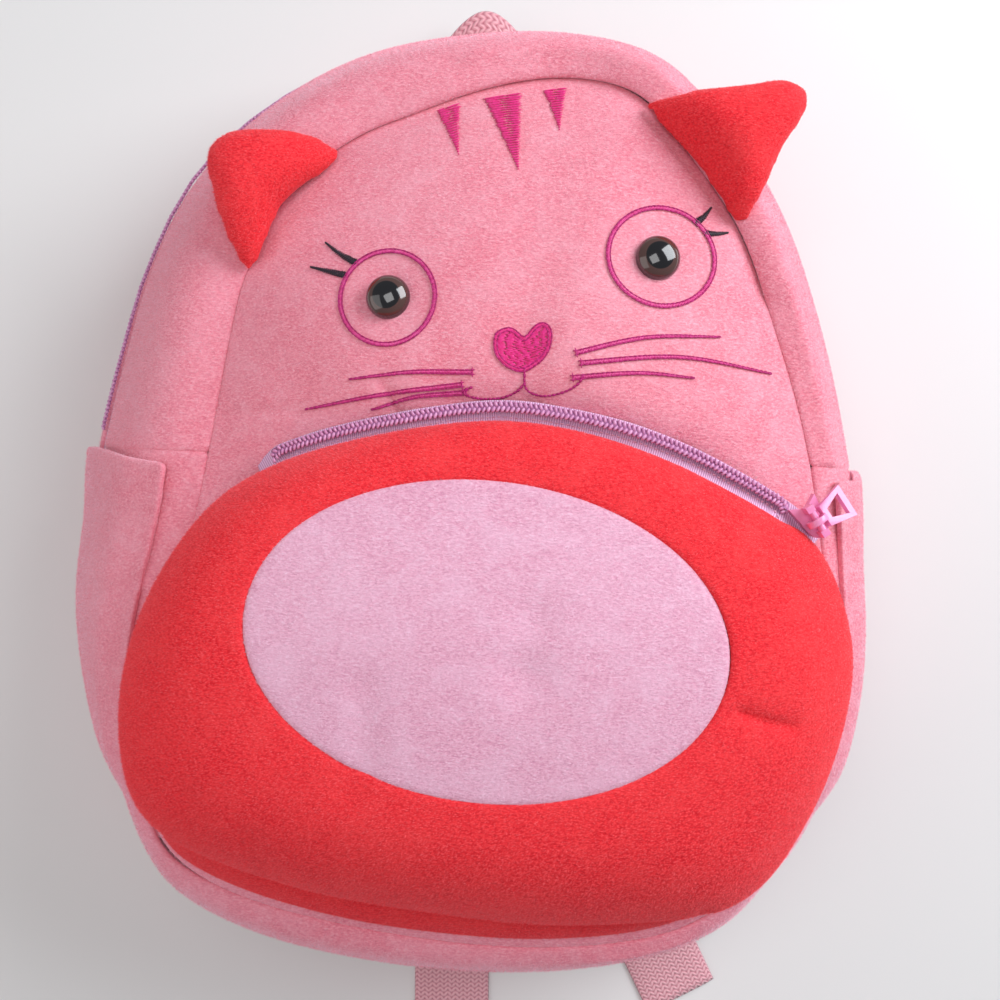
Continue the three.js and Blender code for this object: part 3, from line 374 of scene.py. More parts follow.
def meshOf(name, points, faces, look, uv=None):
    mesh = bpy.data.meshes.new(name)
    mesh.from_pydata([tuple(point) for point in np.asarray(points) * mm], [], faces)
    if uv is not None:
        setWeave(mesh, uv)
    mesh.update()
    return linked(smoothShaded(mesh), name, look)


def finished(piece, slot, *replaced, body="bag"):
    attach(piece, body)
    if replaced:
        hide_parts(*replaced)
    return piece


def awayFrom(points, line):  # distance in the plane of the face from a line
    best = np.full(len(points), np.inf)
    line = [np.array(p[:2], float) for p in line]
    for a, b in zip(line[:-1], line[1:]) if len(line) > 1 else [(line[0], line[0] + 0.01)]:
        way = b - a
        share = np.clip(((points[:, :2] - a) @ way) / (way @ way), 0, 1)
        best = np.minimum(best, np.linalg.norm(points[:, :2] - a - share[:, None] * way, axis=1))
    return best


def unitRows(vectors):
    return vectors / np.linalg.norm(vectors, axis=1)[:, None]


def lengthsOf(line):  # how far along the line each of its points is
    return np.concatenate([[0], np.cumsum(np.linalg.norm(np.diff(line, axis=0), axis=1))])


def splinePart(a, b, c, d, t):  # a smooth line's place between b and c
    return 0.5 * (2 * b + (c - a) * t + (2 * a - 5 * b + 4 * c - d) * t ** 2
                  + (3 * b - a - 3 * c + d) * t ** 3)


splineSteps = 16  # places between two given points


# A smooth line through points, with even steps
def smoothLine(points, step, closed=False):
    points = np.asarray(points, float)
    ends = (points[-1], points[0], points[1]) if closed else (
        2 * points[0] - points[1], points[-1], 2 * points[-1] - points[-2])
    padded = np.vstack([ends[0], points, points[0] if closed else ends[2]] + ([ends[2]] if closed else []))
    dense = []
    for i in range(1, len(padded) - 2):
        a, b, c, d = padded[i - 1:i + 3]
        for t in np.linspace(0, 1, splineSteps, endpoint=False):
            dense.append(splinePart(a, b, c, d, t))
    dense.append(padded[-2])
    dense = np.array(dense)
    lengths = lengthsOf(dense)
    count = max(2, round(lengths[-1] / step) + 1)
    at = np.linspace(0, lengths[-1], count)
    return np.stack([np.interp(at, lengths, dense[:, k]) for k in range(dense.shape[1])], axis=1)


def waysAlong(line):
    return unitRows(np.gradient(line, axis=0))


# Geometry Nodes helpers
def geometryTree(name, inputs):
    tree = bpy.data.node_groups.new(name, "GeometryNodeTree")
    tree.interface.new_socket("Geometry", in_out="INPUT", socket_type="NodeSocketGeometry")
    for label, kind in inputs:
        tree.interface.new_socket(label, in_out="INPUT", socket_type=kind)
    tree.interface.new_socket("Geometry", in_out="OUTPUT", socket_type="NodeSocketGeometry")
    return tree, nodeIn(tree, "NodeGroupInput").outputs, nodeIn(tree, "NodeGroupOutput").inputs


def field(tree, name, kind="FLOAT"):
    return nodeIn(tree, "GeometryNodeInputNamedAttribute", {0: name}, data_type=kind).outputs[0]


def spread(tree, low, high, seed, add=0):
    number = nodeIn(tree, "FunctionNodeRandomValue", {2: low, 3: high}, data_type="FLOAT")
    tree.links.new(maths(tree, "ADD", seed, float(add)), number.inputs["Seed"])
    return number.outputs[1]


# Threads, beads and coil teeth: one small rounded body at each point, laid along "reach" and facing "out"
def makeThreadTree():
    tree, given, result = geometryTree("laidThreads", [
        ("Girth", "NodeSocketFloat"), ("Height", "NodeSocketFloat"), ("Uneven", "NodeSocketFloat"),
        ("Seed", "NodeSocketInt"), ("Material", "NodeSocketMaterial")])
    body = nodeIn(tree, "GeometryNodeMeshUVSphere", {"Segments": 7, "Rings": 4, "Radius": 1.0}).outputs[0]
    reach, out = field(tree, "reach", "FLOAT_VECTOR"), field(tree, "out", "FLOAT_VECTOR")
    along = nodeIn(tree, "FunctionNodeAlignRotationToVector", {"Vector": reach}, axis="X")
    turned = nodeIn(tree, "FunctionNodeAlignRotationToVector", {
        "Rotation": along.outputs[0], "Vector": out}, axis="Z", pivot_axis="X")
    length = nodeIn(tree, "ShaderNodeVectorMath", {0: reach}, operation="LENGTH").outputs["Value"]
    lower = maths(tree, "SUBTRACT", 1.0, given["Uneven"])
    higher = maths(tree, "ADD", 1.0, given["Uneven"])
    longer = maths(tree, "MULTIPLY", length, spread(tree, lower, higher, given["Seed"]))
    wider = maths(tree, "MULTIPLY", given["Girth"], spread(tree, 0.85, 1.15, given["Seed"], 7))
    size = nodeIn(tree, "ShaderNodeCombineXYZ", {0: longer, 1: wider, 2: given["Height"]}).outputs[0]
    laid = nodeIn(tree, "GeometryNodeInstanceOnPoints", {
        "Points": given["Geometry"], "Instance": body, "Rotation": turned.outputs[0], "Scale": size})
    real = nodeIn(tree, "GeometryNodeRealizeInstances", {0: laid.outputs[0]}).outputs[0]
    smooth = nodeIn(tree, "GeometryNodeSetShadeSmooth", {0: real}).outputs[0]
    done = nodeIn(tree, "GeometryNodeSetMaterial", {"Geometry": smooth, "Material": given["Material"]})
    tree.links.new(done.outputs[0], result["Geometry"])
    return tree


# Pile fibres: one slim blade at each scattered point, leaning with the nap
def makeFibreTree():
    tree, given, result = geometryTree("pileFibres", [
        ("Density", "NodeSocketFloat"), ("Length", "NodeSocketFloat"), ("Width", "NodeSocketFloat"),
        ("Nap", "NodeSocketVector"), ("Loose", "NodeSocketFloat"), ("Seed", "NodeSocketInt"),
        ("Material", "NodeSocketMaterial")])
    many = maths(tree, "MULTIPLY", given["Density"], field(tree, "pile"))
    points = nodeIn(tree, "GeometryNodeDistributePointsOnFaces", {
        "Mesh": given["Geometry"], "Density": many, "Seed": given["Seed"]}, distribute_method="RANDOM")
    blade = nodeIn(tree, "GeometryNodeMeshCircle", {"Vertices": 3, "Radius": 1.0}, fill_type="NGON")
    standing = nodeIn(tree, "GeometryNodeTransform", {
        "Geometry": blade.outputs[0], "Rotation": (0.0, -math.pi / 2, 0.0)}).outputs[0]
    stray = nodeIn(tree, "FunctionNodeRandomValue", data_type="FLOAT_VECTOR")
    stray.inputs[0].default_value = (-1, -1, -1)
    stray.inputs[1].default_value = (1, 1, 1)
    tree.links.new(given["Seed"], stray.inputs["Seed"])
    loose = nodeIn(tree, "ShaderNodeVectorMath", {0: stray.outputs[0], "Scale": given["Loose"]},
                   operation="SCALE").outputs[0]
    lean = nodeIn(tree, "ShaderNodeVectorMath", {0: points.outputs["Normal"], 1: given["Nap"]}).outputs[0]
    way = nodeIn(tree, "ShaderNodeVectorMath", {0: lean, 1: loose}).outputs[0]
    upright = nodeIn(tree, "FunctionNodeAlignRotationToVector", {"Vector": way}, axis="Z").outputs[0]
    spin = nodeIn(tree, "FunctionNodeAxisAngleToRotation", {0: (0.0, 0.0, 1.0)})
    tree.links.new(spread(tree, 0.0, 6.283, given["Seed"], 3), spin.inputs[1])
    turned = nodeIn(tree, "FunctionNodeRotateRotation", {0: upright, 1: spin.outputs[0]},
                    rotation_space="LOCAL")
    tall = maths(tree, "MULTIPLY", given["Length"], spread(tree, 0.55, 1.25, given["Seed"], 5))
    size = nodeIn(tree, "ShaderNodeCombineXYZ", {0: given["Width"], 1: given["Width"], 2: tall}).outputs[0]
    laid = nodeIn(tree, "GeometryNodeInstanceOnPoints", {
        "Points": points.outputs["Points"], "Instance": standing,
        "Rotation": turned.outputs[0], "Scale": size})
    toned = nodeIn(tree, "GeometryNodeStoreNamedAttribute", {
        "Geometry": laid.outputs[0], "Name": "tone", "Value": spread(tree, 0.0, 1.0, given["Seed"], 9)},
        data_type="FLOAT", domain="INSTANCE")
    real = nodeIn(tree, "GeometryNodeRealizeInstances", {0: toned.outputs[0]}).outputs[0]
    done = nodeIn(tree, "GeometryNodeSetMaterial", {"Geometry": real, "Material": given["Material"]})
    tree.links.new(done.outputs[0], result["Geometry"])
    return tree


threadTree = makeThreadTree()
fibreTree = makeFibreTree()


def grown(base, tree, values, name):
    made = base.modifiers.new("made", "NODES")
    made.node_group = tree
    for item in tree.interface.items_tree:
        if item.in_out == "INPUT" and item.name in values:
            made[item.identifier] = values[item.name]
    return evaluated(base, name)


# stitches: rows of (place, half its length as a vector, the way it faces), in mm
def threads(name, stitches, look, girth, height, uneven=0.12, seed=1):
    rows = np.array([[*place, *reach, *out] for place, reach, out in stitches])
    mesh = bpy.data.meshes.new(name + "Points")
    mesh.from_pydata([tuple(row) for row in rows[:, :3] * mm], [], [])
    setField(mesh, "reach", rows[:, 3:6] * mm, "FLOAT_VECTOR")
    setField(mesh, "out", rows[:, 6:9], "FLOAT_VECTOR")
    return grown(linked(mesh, name, look), threadTree, {
        "Girth": girth * mm / 2, "Height": height * mm / 2, "Uneven": uneven, "Seed": seed,
        "Material": look}, name)


# Copies of the CAD solids
def cadShell(node):
    shell = bmesh.new()
    shell.from_mesh(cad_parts[node].data)
    bmesh.ops.remove_doubles(shell, verts=shell.verts, dist=2e-6)
    return shell


def shellPiece(shell, name, look):
    mesh = bpy.data.meshes.new(name)
    shell.to_mesh(mesh)
    shell.free()
    return linked(smoothShaded(mesh), name, look)


# The plush panels: each CAD shell becomes a rounded copy of itself, with soft rolled edges
softening = {"hardAngle": 0.9, "crease": 0.45}


def softened(node, name, levels, look, swell):
    shell = cadShell(node)
    bmesh.ops.join_triangles(shell, faces=shell.faces, angle_face_threshold=1.05, angle_shape_threshold=1.4)
    creases = shell.edges.layers.float.new("crease_edge")
    for edge in shell.edges:
        if len(edge.link_faces) == 2 and edge.calc_face_angle() > softening["hardAngle"]:
            edge[creases] = softening["crease"]
    made = shellPiece(shell, name, look)
    soften = made.modifiers.new("soften", "SUBSURF")
    soften.levels = soften.render_levels = levels
    evaluated(made, name)
    setPoints(made.data, pointsOf(made.data) + swell * normalsOf(made.data))
    return made


def pressed(piece, dents, above):
    points = pointsOf(piece.data)
    upper = smoothStep(points[:, 2], above, above + 3)
    for line, depth, width in dents:
        points[:, 2] -= depth * np.exp(-(awayFrom(points, line) / width) ** 2) * upper
    setPoints(piece.data, points)


plush = {  # piece: node, subdivision, look, how far the copy swells in mm
    "bagBack": ("back_panel", 2, "pinkPlush", 0.1),
    "rearBand": ("zip_band_rear", 3, "pinkPlush", 0.4),
    "frontBand": ("zip_band_front", 3, "pinkPlush", 0.55),
    "sideAndBase": ("gusset_base", 3, "pinkPlush", 0.55),
    "leftSidePocket": ("side_pocket_left", 3, "pinkPlush", 0.2),
    "rightSidePocket": ("side_pocket_right", 3, "pinkPlush", 0.2),
    "faceFront": ("face_panel", 3, "pinkPlush", 0.55),
    "pocketFront": ("pocket_panel", 3, "redPlush", 0.5),
    "pocketSide": ("pocket_gusset", 3, "redPlush", 0.5),
    "belly": ("belly_panel", 3, "palePlush", 0.5),
    "leftEar": ("ear_left", 3, "redPlush", 0.3),
    "rightEar": ("ear_right", 3, "redPlush", 0.3),
    "leftStrapPad": ("shoulder_strap_left", 2, "pinkPlush", 0.0),
    "rightStrapPad": ("shoulder_strap_right", 2, "pinkPlush", 0.0),
    "leftCornerTab": ("corner_tab_left", 2, "pinkPlush", 0.0),
    "rightCornerTab": ("corner_tab_right", 2, "pinkPlush", 0.0),
}
slotOf = {"pinkPlush": "pink_plush", "redPlush": "red_plush", "palePlush": "pale_plush"}
dents = {  # line in mm, depth and width in mm
    "pocketFront": [
        ([(73.5, -41.0), (80.5, -43.5), (87.0, -45.0)], 1.5, 1.2),
        ([(74.0, -41.5), (87.0, -45.0)], 0.9, 4.5),
        ([(-50.5, -77.0), (-47.0, -91.0)], 0.9, 3.0),
        ([(-67.0, -66.0), (-66.5, -79.0)], 0.8, 4.0),
        ([(-22.5, -42.0), (-24.0, -62.0)], 0.5, 5.0),
        ([(69.0, -98.0), (68.5, -103.5)], 1.2, 2.2)],
    "leftSidePocket": [([(-105.6, -18.6), (-96.9, -16.4), (-88.2, -13.6)], 1.2, 2.0)],
    "belly": [
        ([(18.0, -31.5)], 1.5, 7.0), ([(20.5, -18.5)], 1.0, 6.0),
        ([(-21.0, -36.0), (-20.0, -56.0)], 0.6, 4.5)],
    "faceFront": [
        ([(-19.0, 64.0)], 1.0, 9.0), ([(51.3, 74.8)], 1.0, 9.0), ([(17.0, 52.0)], 0.8, 8.0),
        ([(-67.0, 33.4), (-55.5, 33.9), (-43.3, 34.6)], 0.7, 1.6),
        ([(-45.0, 40.0), (-60.0, 15.0)], 1.0, 12.0)],
}
faceSeam = [  # the seam round the top of the face, mm
    (-58.6, 79.5), (-55.2, 89.2), (-50.6, 96.8), (-44.3, 102.0), (-35.0, 110.5), (-17.8, 117.0),
    (-4.3, 124.0), (16.3, 128.7), (28.3, 129.9), (43.7, 127.8), (50.5, 123.2), (62.8, 110.5),
    (69.9, 101.5), (78.0, 88.2),
    (84.5, 72.5)]
pieces = {}
for name, (node, levels, look, swell) in plush.items():
    pieces[name] = softened(node, name, levels, looks[look], swell)
for name, lines in dents.items():
    pressed(pieces[name], lines, 30 if "Side" in name else 72)


def reshaped(name, move):
    points = pointsOf(pieces[name].data)
    setPoints(pieces[name].data, points + move(points))


def overSeam(points):  # the upper band rolls over the face along its seam
    near = np.exp(-(awayFrom(points, faceSeam) / 5.5) ** 2) * smoothStep(points[:, 2], 60, 66)
    return np.column_stack([0 * near, -0.9 * near, 1.7 * near])


sideFit = {"hem": 24, "tall": 116, "row": 6, "full": 1.8, "front": 1.5, "tuck": 5.0, "sag": 4.0}  # mm


def sidePuff(points):  # side pockets are full in the middle, tuck in at the lower end and sag at the hem
    share = np.clip((sideFit["hem"] - points[:, 1]) / sideFit["tall"], 0, 1)
    rows = np.round(points[:, 1] / sideFit["row"]).astype(int)
    top = {row: points[rows == row, 2].max() for row in set(rows)}
    front = smoothStep(points[:, 2] - [top[row] for row in rows], -8, -1)
    away = unitRows(points[:, :2] - bagMiddle)
    full = sideFit["full"] * np.sin(math.pi * share) * smoothStep(points[:, 2], 8, 25)
    out = full * (1 - front) - sideFit["front"] * front - sideFit["tuck"] * smoothStep(share, 0.72, 1.0)
    sag = sideFit["sag"] * smoothStep(points[:, 2], 45, 80) * smoothStep(points[:, 1], 0, 14)
    return np.column_stack([away * out[:, None], 0 * out]) - sag[:, None] * [0, 1, 0]


def tuckedEnd(points):  # the upper left end of the pocket's side goes down behind the panel
    near = smoothStep(points[:, 1], -4, 7) * (points[:, 0] < -35)
    return np.column_stack([5 * near, -3 * near, -6 * near])


def underTape(points):  # the red panel's edge draws back from the zip tape
    far = awayFrom(points, pocketEdge)
    near = np.exp(-(far / 5) ** 2) * smoothStep(points[:, 0], 10, 70)
    return np.column_stack([-0.45 * near, -1.2 * near, -0.2 * near])


pocketEdge = [(-50, 9), (-30, 23), (0, 30), (30, 31), (60, 23), (85, 8)]
reshaped("frontBand", overSeam)
reshaped("faceFront", lambda points: -0.5 * overSeam(points) * [0, 0, 1])
reshaped("leftSidePocket", sidePuff)
reshaped("rightSidePocket", sidePuff)
reshaped("pocketSide", tuckedEnd)
reshaped("pocketFront", underTape)
reshaped("belly", lambda points: (points - [9.0, -24.3, 0]) * [0.009, 0.013, 0])
print("plush panels:", sum(len(piece.data.polygons) for piece in pieces.values()), "faces")


rayStart = 0.3  # where rays start, in metres, well outside the bag


# Where things lie on the soft surface: height and facing under a point, in mm
def treeOf(thing):
    return BVHTree.FromObject(thing, bpy.context.evaluated_depsgraph_get())


def dropped(tree, x, y):  # where a ray straight down meets the surface
    return tree.ray_cast(Vector((x * mm, y * mm, rayStart)), Vector((0, 0, -1)))


def surfaceOf(*sources):
    trees = [treeOf(source) for source in sources]

    def under(x, y):
        best = None
        for tree in trees:
            place, normal, _, _ = dropped(tree, x, y)
            if place is not None and (best is None or place.z / mm > best[0]):
                best = (place.z / mm, np.array(normal))
        return best or (0.0, np.array([0.0, 0.0, 1.0]))
    return under


onFace = surfaceOf(pieces["faceFront"])


def onBag(shares):
    return np.asarray(shares, float) * bagHalf + bagMiddle


def lifted(x, y, rise, ground=onFace):
    z, normal = ground(x, y)
    return np.array([x, y, z]) + normal * rise, normal


def laidFlat(place, reach, normal):  # a stitch, with its reach turned into the surface
    return place, reach - normal * (reach @ normal), normal


# Satin stitch along a line: threads across it, and a running thread along each edge
def satinStitches(line, width, slant=0.25, rise=0.3):
    stitches, edges = [], [[], []]
    ways = waysAlong(line)
    for i, (spot, way) in enumerate(zip(line, ways)):
        half = width(i / (len(line) - 1)) / 2
        side = np.array([-way[1], way[0]])
        place, normal = lifted(spot[0], spot[1], rise)
        reach = np.array([*(side + slant * way * (1 if i % 2 else -1)), 0.0]) * half
        stitches.append(laidFlat(place, reach, normal))
        for edge, sign in zip(edges, (-1, 1)):
            edge.append(spot + side * sign * half)
    return stitches, [np.array(edge) for edge in edges]


def runningStitches(line, length=1.3, rise=0.45):
    even = smoothLine(line, length)
    ways = waysAlong(even)
    stitches = []
    for spot, way in zip(even, ways):
        place, normal = lifted(spot[0], spot[1], rise)
        reach = np.array([way[0], way[1], 0.0]) * length * 0.66
        stitches.append(laidFlat(place, reach, normal))
    return stitches


embroidery = {
    "spacing": 0.42, "girth": 0.55, "height": 0.5, "edgeGirth": 0.4, "ringWidth": 1.05, "mouthWidth": 0.75,
    "whiskerWidth": 1.1, "lashWidth": 2.2,
}
eyes = {
    "left": {"at": (-0.171, 0.375), "ring": (-0.173, 0.375), "radii": (12.9, 12.9)},
    "right": {"at": (0.432, 0.457), "ring": (0.442, 0.461), "radii": (14.5, 13.6)},
}
whiskers = {
    "left_1": [(0.023, 0.233), (-0.115, 0.231), (-0.250, 0.218)],
    "left_2": [(0.000, 0.210), (-0.176, 0.190), (-0.355, 0.162)],
    "left_3": [(0.010, 0.196), (-0.105, 0.186), (-0.199, 0.163)],
    "right_1": [(0.251, 0.270), (0.404, 0.302), (0.572, 0.311)],
    "right_2": [(0.262, 0.251), (0.482, 0.268), (0.697, 0.248)],
    "right_3": [(0.245, 0.224), (0.392, 0.235), (0.510, 0.230)],
}
lashes = {
    "left_1": [(-0.325, 0.489), (-0.290, 0.465), (-0.250, 0.445)],
    "left_2": [(-0.358, 0.441), (-0.314, 0.430), (-0.274, 0.421)],
    "right_1": [(0.560, 0.568), (0.542, 0.548), (0.520, 0.532)],
    "right_2": [(0.599, 0.520), (0.569, 0.515), (0.542, 0.514)],
}
stripes = {
    "left": ((-0.078, 0.764), (-0.022, 0.776), (-0.020, 0.660)),
    "middle": ((0.032, 0.787), (0.121, 0.796), (0.118, 0.625)),
    "right": ((0.172, 0.804), (0.226, 0.808), (0.210, 0.712)),
}
noseEdge = [
    (0.078, 0.304), (0.094, 0.312), (0.109, 0.312), (0.124, 0.303), (0.137, 0.296), (0.149, 0.305),
    (0.161, 0.317), (0.176, 0.323), (0.188, 0.318), (0.194, 0.305), (0.192, 0.284), (0.182, 0.265),
    (0.163, 0.250), (0.136, 0.238), (0.108, 0.243), (0.089, 0.254), (0.076, 0.270), (0.073, 0.289)]
lipLeft = [(0.020, 0.205), (0.002, 0.198), (0.018, 0.189), (0.053, 0.185), (0.092, 0.188), (0.122, 0.199),
           (0.139, 0.213)]
lipRight = [(0.139, 0.236), (0.140, 0.212), (0.152, 0.198), (0.185, 0.191), (0.229, 0.199), (0.257, 0.213),
            (0.266, 0.226)]
sewn = []  # every stitch's place, so that no pile grows through it


def embroidered(name, node, stitches, edges=(), look="satin", girth=None):
    girth = girth or embroidery["girth"]
    sewn.extend(place[:2] for place, _, _ in stitches)
    piece = threads(name, stitches, looks[look], girth, embroidery["height"], seed=len(sewn))
    if edges:
        running = [stitch for edge in edges for stitch in runningStitches(edge)]
        sewn.extend(place[:2] for place, _, _ in running)
        rim = threads(name + "Edge", running, looks["satinEdge"], embroidery["edgeGirth"], 0.4, 0.05,
                      len(sewn))
        finished(rim, "satin_thread")
    return finished(piece, "black_thread" if look == "black" else "satin_thread", node)


# eye rings and whiskers are sewn in the lighter fill satin, whose extra lightness is painted sheen
for side, eye in eyes.items():
    middle = onBag(eye["ring"])
    turns = np.linspace(0, 2 * math.pi, 220)
    ring = middle + np.column_stack([np.cos(turns), np.sin(turns)]) * eye["radii"]
    ring = smoothLine(ring, embroidery["spacing"])
    stitches, edges = satinStitches(ring, lambda t: embroidery["ringWidth"])
    embroidered(side + "EyeRing", "eye_ring_" + side, stitches, edges, look="satinFill")
for name, shares in whiskers.items():
    line = smoothLine(onBag(shares), embroidery["spacing"])
    stitches, edges = satinStitches(line, lambda t: embroidery["whiskerWidth"] * (1 - 0.7 * t ** 1.5))
    tips = smoothLine([edges[0][0], edges[1][0]], 0.5)
    embroidered("whisker_" + name, "whisker_" + name, stitches, [*edges, tips], look="satinFill")
for name, shares in lashes.items():
    line = smoothLine(onBag(shares[::-1]), 0.3)
    stitches, _ = satinStitches(line, lambda t: embroidery["lashWidth"] * (1 - 0.75 * t ** 1.3), slant=0.5)
    embroidered("lash_" + name, "lash_" + name, stitches, look="black")
lips = []
for line in (lipLeft, lipRight):
    lips.extend(runningStitches(smoothLine(onBag(line), 0.5), 1.1))
embroidered("mouth", "mouth", lips, look="satinEdge", girth=embroidery["mouthWidth"])
for name, corners in stripes.items():
    left, right, tip = (onBag(corner) for corner in corners)
    rows = int(np.linalg.norm(tip - left) / 0.4)
    picker = random.Random(rows)
    stitches = []
    for i in range(rows):
        share = 0.97 * i / rows
        a, b = left + (tip - left) * share, right + (tip - right) * share
        a, b = a - (b - a) * picker.uniform(-0.01, 0.05), b + (b - a) * picker.uniform(-0.01, 0.05)
        b = b + np.array([0, 0.35 * (-1) ** i])
        pieceCount = 1 if np.linalg.norm(b - a) < 5 else 2
        cut = picker.uniform(0.35, 0.65)
        for low, high in ([(0, 1)] if pieceCount == 1 else [(0, cut + 0.04), (cut - 0.04, 1)]):
            p, q = a + (b - a) * low, a + (b - a) * high
            place, normal = lifted(*((p + q) / 2), 0.3)
            reach = np.array([*(q - p) / 2, 0.0])
            stitches.append(laidFlat(place, reach, normal))
    embroidered(name + "Stripe", "stripe_" + name, stitches, look="satin")
heart = smoothLine(onBag(noseEdge), 0.3, closed=True)
picker = random.Random(4)
stitches = []
for y in np.arange(heart[:, 1].min() + 0.2, heart[:, 1].max(), 0.3):
    crossings = []
    for (ax, ay), (bx, by) in zip(heart, np.roll(heart, -1, axis=0)):
        if (ay <= y) != (by <= y):
            crossings.append(ax + (bx - ax) * (y - ay) / (by - ay))
    crossings.sort()
    for low, high in zip(crossings[::2], crossings[1::2]):
        x = low
        while x < high - 0.4:
            end = min(high, x + picker.uniform(1.6, 3.0))
            place, normal = lifted((x + end) / 2, y, 0.3)
            reach = np.array([(end - x) / 2 + 0.12, picker.uniform(-0.15, 0.15), 0.0])
            stitches.append(laidFlat(place, reach, normal))
            x = end
rimStitches, rimEdges = satinStitches(heart, lambda t: 0.9)
embroidered("nose", "nose", stitches + rimStitches, rimEdges)
print("embroidery:", len(sewn), "stitches")


# The eyes: domed plastic with a black middle in a brown ring, pressed a little into the pile
def revolved(name, profile, place, normal, look, steps=56):
    turn = Vector((0, 0, 1)).rotation_difference(Vector(normal)).to_matrix()
    points, faces = [], []
    for r, z in profile:
        for k in range(steps):
            angle = 2 * math.pi * k / steps
            points.append(turn @ Vector((r * math.cos(angle), r * math.sin(angle), z)) + Vector(place))
    for i in range(len(profile) - 1):
        for k in range(steps):
            a, b = i * steps + k, i * steps + (k + 1) % steps
            faces.append((a, b, b + steps, a + steps))
    for ring, order in ((0, -1), (len(profile) - 1, 1)):
        faces.append([ring * steps + k for k in range(steps)][::order])
    made = meshOf(name, points, faces, look)
    setField(made.data, "fromMiddle", np.repeat([r for r, _ in profile], steps))
    return made


eyeShape = {"radius": 6.0, "rim": 0.8, "dome": 3.9, "pupil": 3.7, "upright": 1.6}


def eyeMaterial():
    made, tree, shader = material("eyePlastic", 0.12, {"Coat Weight": 1.0, "Coat Roughness": 0.03})
    away = nodeIn(tree, "ShaderNodeAttribute", attribute_name="fromMiddle").outputs["Fac"]
    inRing = ramp(tree, away, eyeShape["pupil"] - 0.12, eyeShape["pupil"] + 0.12)
    atRim = ramp(tree, away, eyeShape["radius"] - 0.7, eyeShape["radius"] - 0.1)
    colour = mixColours(tree, inRing, rgb(0.004, 0.004, 0.006), rgb(0.085, 0.040, 0.034))
    colour = mixColours(tree, atRim, colour, rgb(0.020, 0.010, 0.010))
    tree.links.new(colour, shader.inputs["Base Color"])
    return made


looks["eye"] = eyeMaterial()
for side, eye in eyes.items():
    at = onBag(eye["at"])
    around = [onFace(at[0] + 6 * math.cos(k), at[1] + 6 * math.sin(k)) for k in np.arange(0, 6.2, 0.52)]
    normal = sum(facing for _, facing in around) / len(around) + np.array([0, 0, eyeShape["upright"]])
    normal = normal / np.linalg.norm(normal)
    level = np.mean([z for z, _ in around])
    r = eyeShape["radius"]
    profile = [(r - 0.6, -0.6), (r - 0.1, -0.2), (r, 0.3), (r, eyeShape["rim"])]
    for t in np.linspace(0.08, 1, 20):
        profile.append((max(r * math.cos(t * math.pi / 2), 0.02),
                        eyeShape["rim"] + eyeShape["dome"] * math.sin(t * math.pi / 2)))
    dome = revolved(side + "Eye", profile, (at[0], at[1], level), normal, looks["eye"])
    finished(dome, "eye_plastic", "eye_" + side)
    sewn.extend((at[0] + k * 2.0 * math.cos(t), at[1] + k * 2.0 * math.sin(t))
                for k in range(4) for t in np.arange(0, 6.2, 0.4))
print("eyes placed")


# The zips. A zip's middle line comes from its CAD piece: rays down on the pocket's, and inwards on the bag's
def pocketZipLine(node, hub, angles):
    tree = treeOf(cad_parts[node])
    line = []
    for angle in angles:
        way = np.array([math.cos(math.radians(angle)), math.sin(math.radians(angle))])
        hits = []
        for far in np.arange(60, 130, 0.2):
            x, y = hub + way * far
            place = dropped(tree, x, y)[0]
            if place is not None:
                hits.append((far, place.z / mm))
        if hits:
            far = np.mean([hit[0] for hit in hits])
            line.append([*(hub + way * far), max(hit[1] for hit in hits)])
    return np.array(line)


def bagZipLine(node, angles):
    tree = treeOf(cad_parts[node])
    line, facing = [], []
    for angle in angles:
        way = Vector((math.cos(math.radians(angle)), math.sin(math.radians(angle)), 0))
        hits = []
        for z in np.arange(25, 75, 0.5):
            start = Vector((bagMiddle[0] * mm, bagMiddle[1] * mm, z * mm)) + way * rayStart
            place, normal, _, _ = tree.ray_cast(start, -way)
            if place is not None and normal.dot(way) > 0.3:
                hits.append((place / mm, normal))
        if hits:
            line.append(np.array(hits[len(hits) // 2][0]))
            facing.append(np.array(hits[len(hits) // 2][1]))
    return np.array(line), np.array(facing)


coil = {"pitch": 1.3, "tooth": 1.9, "girth": 0.95, "height": 1.2, "gap": 0.75, "slant": 0.45}


def coilTeeth(line, facing):
    ways = waysAlong(line)
    teeth = []
    for i, (place, way, out) in enumerate(zip(line, ways, facing)):
        row = 1 if i % 2 else -1
        side = np.cross(out, way)
        reach = (side + way * coil["slant"] * row) * coil["tooth"] / 2
        teeth.append((place + side * row * coil["gap"], reach, out))
    return teeth


# A strip's UV map in millimetres, from each point's nearest place on a middle line
def mapAlong(piece, line):
    points = pointsOf(piece.data)
    lengths = lengthsOf(line)
    ways = waysAlong(line)
    tree = KDTree(len(line))
    for i, place in enumerate(line):
        tree.insert(place, i)
    tree.balance()
    uv = np.empty((len(points), 2))
    for k, point in enumerate(points):
        place, i, far = tree.find(point)
        past = (point - np.array(place)) @ ways[i]
        uv[k] = (math.sqrt(max(far ** 2 - past ** 2, 0)), lengths[i] + past)
    setWeave(piece.data, uv)
    return piece


pocketHub = np.array([9.0, -36.0])
pocketLine = smoothLine(pocketZipLine("pocket_zip_coil", pocketHub, np.arange(22, 150, 2)), coil["pitch"] / 2)
outward = unitRows(pocketLine[:, :2] - pocketHub)
pocketFacing = unitRows(np.column_stack([outward * 0.22, np.ones(len(outward))]))


def sunkEnd(piece):  # the left end of the pocket's zip goes down a little
    points = pointsOf(piece.data)
    left = smoothStep(-points[:, 0], 49, 58)
    points += np.column_stack([1.0 * left, -1.5 * left, -3.5 * left])
    setPoints(piece.data, points)
    return piece


